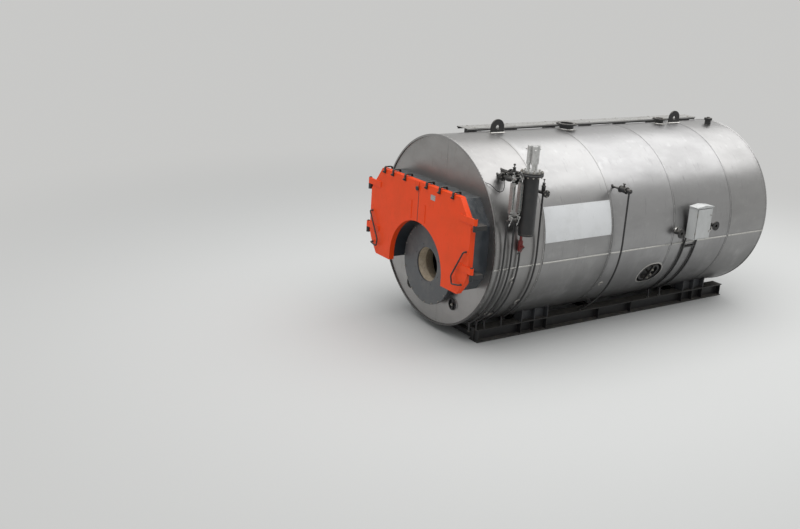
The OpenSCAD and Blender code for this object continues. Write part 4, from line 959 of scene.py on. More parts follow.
def collar(x, sideways, way, outline, width, lip):
    """A formed sheet collar on the jacket: outline(d) gives its hole grown by d."""
    steps = [(0.001, lip), (0.0025, lip), (0.010, 0.0035), (width, 0.0025), (width, 0.0004),
             (0.001, 0.0004)]
    points = [over_jacket(x + a, sideways + b, way, lift) for grown, lift in steps
              for a, b in outline(grown)]
    count = len(points) // len(steps)
    faces = []
    for i in range(len(steps)):
        faces += hoops(i * count, (i + 1) % len(steps) * count, count)
    return points, faces


def round_hole(radius):
    turns = [2 * math.pi * k / 40 for k in range(40)]
    return lambda grown: [((radius + grown) * math.cos(t), (radius + grown) * math.sin(t))
                          for t in turns]


def long_hole(width, height):
    """A hole with round ends and straight sides, its length along the boiler."""
    straight = (width - height) / 2
    turns = [math.pi * k / 20 - math.pi / 2 for k in range(21)]
    return lambda grown: [
        (end * (straight + (height / 2 + grown) * math.cos(t)),
         end * (height / 2 + grown) * math.sin(t)) for end in (1, -1) for t in turns]


def square_hole(width, height):
    """A hole with square corners, and a point in the middle of each side."""
    return lambda grown: [(a * (width / 2 + grown), b * (height / 2 + grown)) for a, b in
                          ((-1, -1), (0, -1), (1, -1), (1, 0), (1, 1), (0, 1), (-1, 1), (-1, 0))]


manhole_collars, bridge_nuts = [], []
for side in (-1, 1):
    way = Vector((0, side * math.cos(manhole_tilt), -math.sin(manhole_tilt)))
    up = Vector((1, 0, 0)).cross(way)
    manhole_collars.append(collar(manhole_place, 0.0, way, long_hole(*manhole_hole), 0.030,
                                  0.004))
    for lift, shift in ((0.010, -bridge_half), (0.010, bridge_half), (0.030, 0)):
        bridge_nuts.append([(at(manhole_place, 0, 0) + way * (clad_radius + lift) + up * shift,
                             way)])
shape_mesh("manhole_collars", manhole_collars, screw_steel, "stainless_sheet")
bolt_up("manhole_nuts", bridge_nuts, (0.036, 0.016, 0.050, 0.004, 0.022, 0.012))

# Skid: two rolled I-beams joined by channels, black, with road dust lying on the flanges and
# web stiffeners welded in under the saddles and at the ends.
beam_middle, beam_half, beam_height = 0.930, 0.125, 0.250
beam_flange, beam_web = 0.017, 0.011
beam_ends = (-3.235, 3.445)
saddle_places = (-1.885, 2.525)
saddle_half, rib_inset = 0.325, 0.010
stiffener_half, stiffener_inset, stiffener_bead = 0.006, 0.012, 0.007
channel_reach = 0.075
rib_shifts = [rib * (saddle_half - rib_inset) for rib in (-1, 0, 1)]
stiffener_places = [x + shift for x in saddle_places for shift in rib_shifts]
stiffener_places += [beam_ends[0] + 0.030, beam_ends[1] - 0.030, -0.200, 0.700]
channel_places = (beam_ends[0] + 0.120, saddle_places[0], 0.0, saddle_places[1],
                  beam_ends[1] - 0.120)
dress(["skid_beam_left", "skid_beam_right", "skid_crossmembers"], black_enamel)
stiffeners, skid_beads = [], []
for side in (1, -1):
    for x in stiffener_places:
        for face in (1, -1):
            if face * side < 0 and min(abs(x - c) for c in channel_places) < channel_reach:
                continue
            y0 = side * beam_middle + face * beam_web / 2
            y1 = side * beam_middle + face * (beam_half - stiffener_inset)
            stiffeners.append(block(
                (x - stiffener_half, min(y0, y1), beam_flange),
                (x + stiffener_half, max(y0, y1), beam_height - beam_flange)))
            z0, z1 = beam_flange + 0.001, beam_height - beam_flange - 0.001
            skid_beads += [facing(up_way, *((x + dx, y, z) for y, z in
                                            ((y1, z0), (y0, z0), (y0, z1), (y1, z1))))
                           for dx in (-stiffener_bead, stiffener_bead)]
shape_mesh("skid_stiffeners", stiffeners, *black, 0.0015)
weld_on("skid_welds", skid_beads, *black, 0.010, 0.010)

# Saddles: upright plates from the beams to the shell, in a duller charcoal, welded down along
# the beams' top flanges.
charcoal = surface("saddle_charcoal", (0.040, 0.042, 0.046), 0.5, eased=0.003)
film(charcoal, 0.2, 0.4, 0.7, (0.06, 0.06, 0.062), 0.6, detail=6)
film(charcoal, 0.03, 0.5, 0.62, (0.17, 0.11, 0.08), 0.7, within=corners(charcoal, 0.005),
     detail=6, shift=2)
grain(charcoal, 0.006, 0.0002, detail=2)
dress(["saddles"], charcoal)
saddle_beads = []
bead_shifts, bead_height, rib_reach = (-0.011, 0.011), beam_height + 0.001, 0.114
for side in (1, -1):
    y = side * beam_middle
    for x in saddle_places:
        saddle_beads += [facing(up_way, (x - saddle_half, y + d, bead_height),
                                (x + saddle_half, y + d, bead_height)) for d in bead_shifts]
        saddle_beads += [facing(up_way, (x + shift + d, y - rib_reach, bead_height),
                                (x + shift + d, y + rib_reach, bead_height))
                         for shift in rib_shifts for d in bead_shifts]
weld_on("saddle_welds", saddle_beads, charcoal, "black_paint", 0.012, 0.008)

# Lifting lugs: thick plates with a large eye, welded to the shell and let through the jacket,
# where a collar of sheet closes the slot.
lug_places = (-2.339, 2.390)
lug_length, lug_thickness, lug_slack = 0.300, 0.030, 0.010
dress(["lifting_lugs"], black_enamel)
lug_hole = square_hole(lug_length + lug_slack, lug_thickness + lug_slack)
shape_mesh("lug_collars", [collar(x, 0.0, up_way, lug_hole, 0.035, 0.012) for x in lug_places],
           screw_steel, "stainless_sheet")
mastic = surface("grey_mastic", (0.20, 0.20, 0.195), 0.6)
film(mastic, 0.02, 0.4, 0.7, (0.13, 0.13, 0.125), 0.7)
grain(mastic, 0.01, 0.001)
weld_on("lug_mastic", [facing(up_way, at(x - lug_length / 2, y, clad_radius + 0.014),
                              at(x + lug_length / 2, y, clad_radius + 0.014))
                       for x in lug_places for y in (-lug_thickness / 2, lug_thickness / 2)],
        mastic, "stainless_sheet", 0.012, 0.008)

# Crown nozzles: flanged pipe stubs for the steam valve and the safety valve, and a vent stub,
# black, each with a collar of sheet and a bead where the flange is welded on.
steam_place, safety_place = -0.625, 1.955
vent_place = (3.170, -0.250)
crown_face = clad_radius + 0.110
dress(["steam_outlet_nozzle", "safety_valve_nozzle", "vent_stub"], black_enamel)
shape_mesh("crown_collars", [
    collar(steam_place, 0.0, up_way, round_hole(0.1365), 0.050, 0.016),
    collar(safety_place, 0.0, up_way, round_hole(0.084), 0.045, 0.016),
    collar(vent_place[0], -vent_place[1], up_way, round_hole(0.030), 0.035, 0.014)],
    screw_steel, "stainless_sheet")
crown_rings = [facing(up_way, *(
    at(x + r * math.cos(math.pi * k / 24), r * math.sin(math.pi * k / 24), crown_face - 0.027)
    for k in range(48))) for x, r in ((steam_place, 0.138), (safety_place, 0.0855))]
weld_on("crown_flange_welds", crown_rings, *black, 0.010, 0.006, closed=True)
# the raised sealing faces are left bare and greased
sealing_steel = surface("bare_sealing_face", (0.34, 0.33, 0.32), 0.3, 0.95)
film(sealing_steel, 0.03, 0.45, 0.7, (0.20, 0.15, 0.11), 0.5, 0.5)


def sealing_ring(point, way, inner, outer, thickness=0.003):
    return hollow([(inner, 0.0001), (outer, 0.0001), (outer, thickness), (inner, thickness)],
                  point, way)


shape_mesh("crown_sealing_faces", [
    sealing_ring(at(steam_place, 0, crown_face), up_way, 0.1285, 0.158),
    sealing_ring(at(safety_place, 0, crown_face), up_way, 0.0765, 0.103)],
    sealing_steel, "boiler_steel")
# a deep screwed cap closes the vent over its own sleeve
shape_mesh("vent_sleeve_and_cap", [
    turned([(0.062, 0.0), (0.062, 0.080), (0.080, 0.082), (0.083, 0.088), (0.083, 0.126),
            (0.078, 0.132), (0.032, 0.135), (0.030, 0.150), (0.004, 0.152)],
           at(*vent_place, clad_radius - 0.016), up_way, 32)], *black, 0.002)

# Walkway: a folded deck of raised-bar plate along the crown, on black brackets. The lozenges
# of the tread stand in rows turned to and fro, and are worn bright.
deck_start, deck_end = -2.815, 3.385
deck_middle, deck_half = 0.440, 0.165
deck_top = clad_radius + 0.044
tread_step, tread_edges, tread_counts = (0.0358, 0.040), (0.030, -0.140), (172, 8)
deck_bolt_gap, deck_bolt_half = 0.200, 0.120
dress(["walkway_brackets"], black_enamel)
tread_metal = surface("walkway_tread", (0.42, 0.42, 0.41), 0.42, 0.85, eased=0.001)
film(tread_metal, 0.4, 0.4, 0.7, (0.30, 0.295, 0.285), 0.55, 0.6, detail=6)
film(tread_metal, 0.05, 0.45, 0.75, (0.20, 0.18, 0.155), 0.8, 0.1, within=lies_up(tread_metal),
     detail=7)
grain(tread_metal, 0.004, 0.0001)
dress(["walkway_deck"], tread_metal)
tread_bars, given = new_tree("tread_bars", {"Bar Length": 0.030, "Bar Width": 0.008,
                                            "Bar Height": 0.002})
lozenge = wire(tread_bars, "GeometryNodeMeshUVSphere", {"Segments": 8, "Rings": 4, "Radius": 0.5})
bar_size = wire(tread_bars, "ShaderNodeCombineXYZ", {
    "X": given["Bar Length"], "Y": given["Bar Width"],
    "Z": times(tread_bars, given["Bar Height"], 2.0)})
sized = wire(tread_bars, "GeometryNodeTransform", {"Geometry": lozenge.outputs[0],
                                                   "Scale": bar_size.outputs[0]})
close_tree(tread_bars, given, stand_on(tread_bars, given["Guide"], sized.outputs[0],
                                       along_guide(tread_bars, "X")))
tread_places = [[(at(deck_start + tread_edges[0] + tread_step[0] * i,
                     deck_middle + tread_edges[1] + tread_step[1] * j, deck_top),
                  (1, 1 if (i + j) % 2 else -1, 0))]
                for i in range(tread_counts[0]) for j in range(tread_counts[1])]
make_along("walkway_tread_bars", tread_bars, guide_of(tread_places), tread_metal,
           {"Bar Length": 0.032, "Bar Width": 0.008, "Bar Height": 0.0018})
shape_mesh("walkway_rails", [
    block(at(deck_start + 0.020, y, deck_top - 0.052),
          at(deck_end - 0.020, y + 0.005, deck_top - 0.0241))
    for y in (deck_middle - deck_half + 0.0005, deck_middle + deck_half - 0.0055)],
    *black, 0.001)
bolt_step = (deck_end - deck_start - 2 * deck_bolt_gap) / 6
bolt_up("walkway_bolts", [
    facing(up_way, at(deck_start + deck_bolt_gap + i * bolt_step, y, deck_top)) for i in range(7)
    for y in (deck_middle - deck_bolt_half, deck_middle + deck_bolt_half)],
    (0.019, 0.008, 0.026, 0.002, 0.012, 0.003))

# Level chamber: a length of large pipe beside the shell under a thick bolted flange, with a
# closed foot. Black, with zinc studs round the flange and a gasket in its joint.
level_place = (-3.080, -1.9085)
level_top, level_foot = 1.460, 0.370
flange_circle, flange_depth = 0.177, 0.060
dress(["level_chamber", "level_pipework", "drain_pipes", "pressure_connection",
       "sample_valve", "cabinet_stand", "feed_nozzles", "rear_cleaning_doors",
       "rear_access_door"], black_enamel)
bolt_up("level_flange_bolts",
        circle_of(12, at(*level_place, level_top), flange_circle, up_way)
        + circle_of(12, at(*level_place, level_top - flange_depth), flange_circle, down_way),
        (0.030, 0.016, 0.038, 0.003, 0.020, 0.008))
gasket_grey = surface("gasket_fibre", (0.30, 0.30, 0.29), 0.8)
film(gasket_grey, 0.01, 0.4, 0.7, (0.20, 0.20, 0.195), 0.85)
shape_mesh("level_gasket", [sealing_ring(at(*level_place, level_top - 0.032), up_way, 0.190,
                                         0.2008, 0.004)], gasket_grey, "black_paint")

chamber_radius, branch_radius = 0.1365, 0.030
branch_heights, far_drain = (0.500, 1.330), -2.685
pressure_place, pressure_rise = -3.218, 1.270
sample_place, sample_rise, sample_radius = -0.705, 0.940, 0.017
feed_places, feed_radius = ((0.885, -0.020), (1.865, 0.040)), 0.038
chamber_beads = [
    ring_of(40, at(*level_place, level_top - 0.061), chamber_radius + 0.001, up_way),
    ring_of(40, at(*level_place, level_foot + 0.030), chamber_radius + 0.0005, up_way)]
chamber_beads += [ring_of(24, at(level_place[0], level_place[1] + chamber_radius - 0.001, z),
                          branch_radius + 0.002, right_way) for z in branch_heights]
weld_on("level_chamber_welds", chamber_beads, *black, 0.010, 0.006,
        closed=True)
side_branches = [(level_place[0], z, branch_radius) for z in branch_heights]
side_branches += [(pressure_place, pressure_rise, branch_radius),
                  (sample_place, sample_rise, sample_radius)]
side_branches += [(x, z, feed_radius) for x, z in feed_places]
side_branches += [(far_drain, 1.050, branch_radius)]
shape_mesh("branch_collars", [collar(x, z, left_way, round_hole(radius), 0.036, 0.016)
                              for x, z, radius in side_branches], screw_steel, "stainless_sheet")

# Electrode heads: three cast alloy housings on the flange's cover plate, silvery, each with a
# screwed cap, a clamping ring and a cable gland that is still plugged.
cast_alloy = surface("cast_alloy_heads", (0.60, 0.60, 0.59), 0.36, 0.85, eased=0.002)
film(cast_alloy, 0.06, 0.4, 0.7, (0.46, 0.46, 0.45), 0.48, detail=5)
film(cast_alloy, 0.02, 0.6, 0.75, (0.30, 0.29, 0.27), 0.6, stretch=(1, 1, 4), detail=5, shift=2)
grain(cast_alloy, 0.004, 0.0004, detail=3)
dress(["electrode_heads"], cast_alloy)


def disc(radius, height, point, way, sides, inner=None):
    """A flat turned disc or nut with eased edges; inner is its radius at both faces."""
    inner = radius - 0.002 if inner is None else inner
    return turned([(inner, 0.0), (radius, 0.002), (radius, height - 0.002), (inner, height)],
                  point, way, sides)


head_circle, head_top = 0.072, level_top + 0.440
cap_shapes = []
for degrees in (0, 120, 240):
    out = Vector((math.cos(math.radians(degrees)), math.sin(math.radians(degrees)), 0))
    x, y = level_place[0] + head_circle * out.x, level_place[1] + head_circle * out.y
    cap_shapes.append(turned([(0.0425, 0.0003), (0.0445, 0.002), (0.0445, 0.018), (0.041, 0.023),
                              (0.018, 0.025), (0.016, 0.032), (0.004, 0.033)],
                             at(x, y, head_top - 0.020), up_way))
    cap_shapes += [disc(0.0445, 0.012, at(x, y, level_top + height), up_way, 24, inner=0.0424)
                   for height in (0.132, 0.160, 0.250)]
    cap_shapes.append(turned([(0.012, -0.004), (0.012, 0.010), (0.016, 0.010), (0.016, 0.022),
                              (0.013, 0.025), (0.009, 0.034), (0.002, 0.035)],
                             at(x, y, head_top - 0.060) + out * 0.041, out, 8))
shape_mesh("electrode_caps", cap_shapes, cast_alloy, "bright_heads")
bolt_up("electrode_plate_bolts", circle_of(8, at(*level_place, level_top + 0.030), 0.132, up_way),
        (0.020, 0.009, 0.026, 0.002, 0.012, 0.004))

# Gauge glasses: steel bodies with a slot down the front, a thick ribbed glass behind a cover
# held by two rows of nuts, and a cock above and below with a short lever.
gauge_places, gauge_line = (-3.425, -3.260), -1.860
cover_low, cover_high, cover_end = 0.800, 1.260, 0.035
cover_half, slot_half, cover_thick = 0.029, 0.011, 0.016
gauge_face = gauge_line - 0.031
gauge_steel = surface("gauge_steel", (0.40, 0.40, 0.39), 0.40, 0.85, eased=0.002)
film(gauge_steel, 0.03, 0.4, 0.7, (0.28, 0.28, 0.27), 0.5, detail=5)
grain(gauge_steel, 0.003, 0.0002)
dress(["gauge_glasses"], gauge_steel)
ribbed_glass = surface("ribbed_glass", (0.035, 0.042, 0.042), 0.06)
shader_of(ribbed_glass).inputs["Coat Weight"].default_value = 0.6
film(ribbed_glass, 0.006, 0.42, 0.58, (0.22, 0.25, 0.25), 0.12, stretch=(1, 1, 60), detail=2)
grain(ribbed_glass, 0.004, 0.0006, stretch=(1, 1, 80), detail=1)


def barrel(half, point, way, sides):
    """A turned body that is the same on both sides of its middle, from one half's steps."""
    return turned([(radius, -height) for radius, height in half]
                  + [(radius, height) for radius, height in reversed(half[:-1])],
                  point, way, sides)


covers, glasses, cover_nuts, cocks = [], [], [], []
for x in gauge_places:
    for a, b, low, high in ((-cover_half, -slot_half, cover_low, cover_high),
                            (slot_half, cover_half, cover_low, cover_high),
                            (-slot_half, slot_half, cover_low, cover_low + cover_end),
                            (-slot_half, slot_half, cover_high - cover_end, cover_high)):
        covers.append(block(at(x + a, gauge_face - cover_thick, low), at(x + b, gauge_face, high)))
    glasses.append(block(at(x - 0.012, gauge_face - 0.006, cover_low + 0.033),
                         at(x + 0.012, gauge_face, cover_high - 0.033)))
    for y in (-0.020, 0.020):
        cover_nuts.append(facing(left_way, at(x + y, gauge_face - cover_thick, cover_low + 0.020),
                                 at(x + y, gauge_face - cover_thick, cover_high - 0.020)))
    for z, tilt in ((0.700, -1), (1.360, 1)):
        middle = at(x, gauge_line, z)
        hub = middle + Vector((0, -0.070, 0))
        lever_way = Vector((-0.55, -0.12, 0.85 * tilt)).normalized()
        cocks += [
            barrel([(0.018, 0.034), (0.028, 0.026), (0.032, 0.0)], middle, up_way, 20),
            turned([(0.017, 0.0), (0.017, 0.022), (0.021, 0.022), (0.021, 0.036), (0.012, 0.038),
                    (0.010, 0.048), (0.009, 0.050)], middle + Vector((0, -0.024, 0)), left_way, 6),
            bar([hub, hub + lever_way * 0.020, hub + lever_way * 0.120], 0.006, 8),
            turned([(0.006, 0.0), (0.010, 0.006), (0.011, 0.030), (0.008, 0.042), (0.003, 0.044)],
                   hub + lever_way * 0.110, lever_way, 12)]
        cocks += [disc(0.026, 0.014, middle + Vector((0, 0, height)), up_way, 6)
                  for height in (-0.048, 0.036)]
shape_mesh("gauge_covers", covers, gauge_steel, "bright_heads", 0.0015)
shape_mesh("gauge_sight_glasses", glasses, ribbed_glass, "bright_heads", 0.001)
spaced_nuts, given = new_tree("spaced_nuts", {"Spacing": 0.06, "Across": 0.012, "Height": 0.008})
nut = drum(spaced_nuts, 6, given["Across"], 0.577, given["Height"])
close_tree(spaced_nuts, given, stand_on(
    spaced_nuts, spaced_along(spaced_nuts, given, "Spacing"), nut, along_guide(spaced_nuts)),
    smooth=False)
make_along("gauge_cover_nuts", spaced_nuts, guide_of(cover_nuts), zinc,
           {"Spacing": 0.060, "Across": 0.013, "Height": 0.009})
shape_mesh("gauge_cocks", cocks, gauge_steel, "bright_heads")

# Drains: small pipes that drop from the gauges and the chamber and follow the jacket round to
# the skid, held off the sheet by clips. The chamber's own drain has a red blow-down valve.
drain_radius, drain_path, drain_turn = 0.017, 1.797, 0.78
drain_places = (*gauge_places, level_place[0], far_drain)


def clip_on_path(x, path, turn, pipe):
    """A clip that holds a pipe off the jacket: a stand-off leg and a band round the pipe."""
    way = Vector((0, -math.cos(turn), -math.sin(turn)))
    along = Vector((0, math.sin(turn), -math.cos(turn)))
    middle, foot = at(x, 0, 0) + way * path, at(x, 0, 0) + way * (clad_radius + 0.0003)
    inner, outer, half = pipe + 0.0005, pipe + 0.003, 0.011
    return [turned([(inner, -half), (outer, -half), (outer, half), (inner, half)], middle, along),
            turned([(0.020, 0.0), (0.020, 0.003), (0.006, 0.003),
                    (0.006, path - clad_radius - pipe)], foot, way, 16),
            block((-0.004, pipe + 0.002, -half), (0.004, pipe + 0.022, half),
                  stood(middle, along, way))]


clips = []
for x in drain_places:
    clips += clip_on_path(x, drain_path, drain_turn, drain_radius)
red_enamel = surface("red_enamel", (0.17, 0.016, 0.014), 0.42, eased=0.002)
film(red_enamel, 0.03, 0.4, 0.7, (0.18, 0.013, 0.011), 0.5, detail=5)
film(red_enamel, 0.015, 0.52, 0.62, (0.30, 0.27, 0.25), 0.45, 0.6,
     within=corners(red_enamel, 0.003), detail=6, shift=1)
grain(red_enamel, 0.003, 0.0002)
dress(["drain_valve"], red_enamel)
valve_middle = at(level_place[0], -drain_path, 0.150)
red_valve = [turned([(0.030, 0.0), (0.030, 0.014), (0.024, 0.016), (0.020, 0.040),
                     (0.014, 0.044), (0.012, 0.060), (0.011, 0.062)],
                    valve_middle + Vector((0, -0.040, 0)), left_way, 20)]
red_valve += [disc(size, 0.014, valve_middle + Vector((0, 0, height)), up_way, 6)
              for height, size in ((-0.092, 0.036), (0.078, 0.036), (-0.104, 0.030),
                                   (0.092, 0.030))]
shape_mesh("drain_valve_fittings", red_valve, red_enamel, "red_valve", 0.001)
lever_path = [valve_middle + Vector(step) for step in (
    (0, -0.096, 0), (0, -0.100, 0), (-0.03, -0.106, -0.02), (-0.15, -0.110, -0.10))]
shape_mesh("drain_valve_lever", [
    bar(lever_path, 0.008, 10),
    turned([(0.008, 0.0), (0.013, 0.008), (0.013, 0.060), (0.009, 0.072), (0.003, 0.074)],
           lever_path[2] * 0.45 + lever_path[3] * 0.55, lever_path[3] - lever_path[2], 12)],
    *black)


def stem_and_bonnet(foot, size):
    """The bonnet, gland and stem of an upright valve about `size` across."""
    steps = ((0.50, 0.0), (0.50, 0.16), (0.34, 0.20), (0.26, 0.62), (0.34, 0.64), (0.34, 0.80),
             (0.16, 0.84), (0.10, 0.90), (0.10, 1.50))
    return turned([(size * radius, size * height) for radius, height in steps], foot, up_way, 20)


third_valve = at(drain_places[3], -drain_path, 1.160)
branch_valve = at(level_place[0], -1.455, 1.330)
valve_shapes = [
    stem_and_bonnet(third_valve, 0.080),
    disc(0.020, 0.022, third_valve + Vector((0, 0, 0.110)), up_way, 6, inner=0.006),
    disc(0.070, 0.020, branch_valve + Vector((0, 0.100, 0)), left_way, 40),
    disc(0.070, 0.020, branch_valve + Vector((0, -0.080, 0)), left_way, 40),
    barrel([(0.040, 0.085), (0.050, 0.050), (0.058, 0.0)], branch_valve, left_way, 28),
    stem_and_bonnet(branch_valve + Vector((0, 0, 0.045)), 0.090),
    disc(0.024, 0.026, branch_valve + Vector((0, 0, 0.150)), up_way, 6, inner=0.008)]
shape_mesh("branch_valves", valve_shapes, *black)
branch_bolts = circle_of(4, at(drain_places[3], -1.899, 1.050), 0.048, left_way)
for reach, way in ((0.100, right_way), (-0.100, left_way)):
    branch_bolts += circle_of(4, branch_valve + Vector((0, reach, 0)), 0.054, way)
bolt_up("branch_flange_bolts", branch_bolts,
        (0.018, 0.010, 0.024, 0.002, 0.012, 0.004))

# Pressure connection: a flanged pipe high on the front course with an isolating valve, from
# which a thin bent tube runs back to the front of the jacket.
pressure_valve, pressure_flange, pressure_end = 1.494, 1.314, 1.684


def pressure_axis(out):
    return at(pressure_place, -out, pressure_rise)


lever_foot = pressure_axis(pressure_valve) + Vector((0, 0, 0.092))
shape_mesh("pressure_valve", [
    barrel([(0.036, 0.070), (0.046, 0.045), (0.052, 0.0)], pressure_axis(pressure_valve),
           left_way, 28),
    stem_and_bonnet(pressure_axis(pressure_valve) + Vector((0, 0, 0.042)), 0.070),
    bar([lever_foot + Vector((0, 0.020, 0)), lever_foot,
         lever_foot + Vector((-0.010, 0.15, 0.010))], 0.007, 8),
    disc(0.075, 0.022, pressure_axis(pressure_flange + 0.028), left_way, 40),
    turned([(0.063, 0.0), (0.065, 0.002), (0.065, 0.018), (0.062, 0.020)],
           pressure_axis(pressure_end + 0.002), left_way, 40)], *black)
pressure_bolts = []
for out, radius, way in (
        (pressure_flange, 0.058, right_way), (pressure_flange + 0.050, 0.058, left_way),
        (pressure_end + 0.022, 0.049, left_way), (pressure_end - 0.026, 0.049, right_way)):
    pressure_bolts += circle_of(4, pressure_axis(out), radius, way)
bolt_up("pressure_flange_bolts", pressure_bolts,
        (0.018, 0.010, 0.024, 0.002, 0.012, 0.004))


def eased_path(stops, count=10):
    """A smooth run of points through stops, for bent tube."""
    stops = [Vector(p) for p in stops]
    run = []
    for before, a, b, after in zip(stops[:1] + stops, stops, stops[1:], stops[2:] + stops[-1:]):
        for k in range(count):
            t = k / count
            run.append(0.5 * ((2 * a) + (b - before) * t
                              + (2 * before - 5 * a + 4 * b - after) * t * t
                              + (3 * a - before - 3 * b + after) * t ** 3))
    return run + [stops[-1]]


dull_tube = surface("dull_tube", (0.030, 0.030, 0.032), 0.42, 0.3)
film(dull_tube, 0.02, 0.45, 0.7, (0.055, 0.05, 0.045), 0.55)
tube_start, _ = on_jacket(front_rim + 0.030, math.radians(42), 0.012)
tube_stops = [tube_start + Vector((-0.026, 0.024, 0.006)), tube_start] + [at(*stop) for stop in (
    (-3.490, -1.365, 1.150), (-3.400, -1.440, 1.055), (-3.310, -1.460, 1.045),
    (-3.245, -1.430, 1.110), (-3.218, -1.385, 1.190), (-3.218, -1.375, 1.245))]
shape_mesh("pressure_tube", [bar(eased_path(tube_stops), 0.0065, 10)], dull_tube, "black_paint")

# Sampling valve: a small flanged valve on its own branch with a round knob, and a pipe that
# drops to the skid. Its pipe is clipped off the jacket as the drains are.
sample_path, sample_turn = 1.900, 0.84
sample_flange, sample_valve, sample_end = 1.676, 1.760, 1.832


def sample_axis(out, lift=0.0):
    return at(sample_place, -out, sample_rise + lift)


shape_mesh("sampling_valve_knob", [
    disc(0.066, 0.016, sample_axis(sample_flange), left_way, 36),
    disc(0.066, 0.016, sample_axis(sample_end), left_way, 36),
    turned([(0.041, 0.0), (0.043, 0.002), (0.043, 0.010), (0.030, 0.013), (0.028, 0.024),
            (0.004, 0.025)], sample_axis(1.928), left_way, 6),
    turned([(0.026, 0.0), (0.026, 0.012), (0.018, 0.016), (0.016, 0.034), (0.010, 0.036),
            (0.010, 0.050)], sample_axis(sample_valve, 0.052), up_way, 16),
    turned([(0.006, -0.004), (0.030, 0.0), (0.033, 0.006), (0.030, 0.014), (0.008, 0.017)],
           sample_axis(sample_valve, 0.100), up_way)], *black)
clips += clip_on_path(sample_place, sample_path, sample_turn, sample_radius)
shape_mesh("pipe_clips", clips, *black)
small_bolts = (0.016, 0.008, 0.020, 0.002, 0.010, 0.003)
bolt_up("sampling_flange_bolts", circle_of(4, sample_axis(sample_flange), 0.052, right_way)
        + circle_of(4, sample_axis(sample_end + 0.016), 0.052, left_way),
        small_bolts)

# Cabinet: a folded sheet-steel case in white enamel on two black legs, with an overhanging
# lid, a sealed door on two pin hinges, two turn locks and cable glands underneath.
cabinet_middle, cabinet_back, cabinet_front = 1.340, -1.800, -2.000
cabinet_half, cabinet_height, cabinet_foot = 0.220, 0.640, -0.145
white_enamel = surface("white_enamel", (0.51, 0.515, 0.51), 0.36, eased=0.003)
film(white_enamel, 0.2, 0.4, 0.7, (0.44, 0.445, 0.435), 0.44, stretch=(1, 1, 2), detail=6)
film(white_enamel, 0.03, 0.62, 0.8, (0.38, 0.37, 0.35), 0.55, stretch=(1, 1, 7), detail=5,
     shift=2)
grain(white_enamel, 0.002, 0.00012, detail=1)
dress(["control_cabinet"], white_enamel)
seal_black = surface("seal_rubber", (0.02, 0.02, 0.02), 0.7)
film(seal_black, 0.01, 0.4, 0.7, (0.035, 0.035, 0.035), 0.8)
hinge_edge, lock_edge = cabinet_middle - cabinet_half + 0.022, cabinet_middle + cabinet_half - 0.022
door_low, door_high = cabinet_foot + 0.022, cabinet_foot + cabinet_height - 0.040
shape_mesh("cabinet_door_seal", [block(
    at(hinge_edge - 0.004, cabinet_front - 0.003, door_low - 0.004),
    at(lock_edge + 0.004, cabinet_front, door_high + 0.004))], seal_black, "white_paint", 0.001)
shape_mesh("cabinet_door", [block(at(hinge_edge, cabinet_front - 0.014, door_low),
                                  at(lock_edge, cabinet_front - 0.002, door_high))],
           white_enamel, "white_paint", 0.003)
locks = []
for z in (door_low + 0.130, door_high - 0.130):
    locks.append(turned([(0.015, 0.0), (0.015, 0.004), (0.012, 0.006), (0.011, 0.006),
                         (0.010, 0.003)], at(lock_edge - 0.028, cabinet_front - 0.014, z),
                        left_way, 20))
    locks.append(block(at(lock_edge - 0.031, cabinet_front - 0.023, z - 0.009),
                       at(lock_edge - 0.025, cabinet_front - 0.017, z + 0.009)))
shape_mesh("cabinet_locks", locks, zinc, "white_paint", 0.0008)
shape_mesh("cabinet_hinges", [
    turned([(0.006, -0.030), (0.007, -0.028), (0.007, 0.028), (0.006, 0.030)],
           at(hinge_edge - 0.010, cabinet_front - 0.008, z), up_way, 12)
    for z in (door_low + 0.110, door_high - 0.110)], zinc, "white_paint")
shape_mesh("cabinet_glands", [
    turned([(size, 0.0002), (size, 0.010), (size * 1.2, 0.010), (size * 1.2, 0.020),
            (size * 0.9, 0.024), (size * 0.7, 0.034), (size * 0.2, 0.036)],
           at(cabinet_middle - 0.140 + 0.070 * i, cabinet_back - 0.110, cabinet_foot),
           down_way, 6)
    for i, size in enumerate((0.014, 0.011, 0.011, 0.014, 0.009))], seal_black, "white_paint")
# the legs are square bar, bent round the jacket at a finger's width, with one brace between
leg_landing, leg_width, leg_lift = -1.020, 0.028, 0.024
leg_ring = clad_radius + leg_lift
landing_turn = math.acos(-leg_landing / leg_ring)
leg_line = [at(0, cabinet_back + leg_width / 2 - 0.0003, 0.435)]
for i in range(37):
    turn = landing_turn * i / 36
    ring = leg_ring + 0.0117 * max(0.0, 1 - turn / 0.16)
    leg_line.append(at(0, -ring * math.cos(turn), -ring * math.sin(turn)))
leg_line.append(Vector((0, leg_landing, beam_height)))
stand = [flat_bar([Vector((x, 0, 0)) + p for p in leg_line], rear_way, leg_width, leg_width)
         for x in leg_backs]
brace, brace_way = on_jacket(0, math.radians(-11.6), leg_lift)
stand.append(flat_bar([brace + Vector((x, 0, 0)) for x in leg_backs],
                      (0, brace_way.z, -brace_way.y), 0.030, leg_width * 0.8))
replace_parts(shape_mesh("cabinet_legs", stand, *black, 0.002),
            "cabinet_stand")
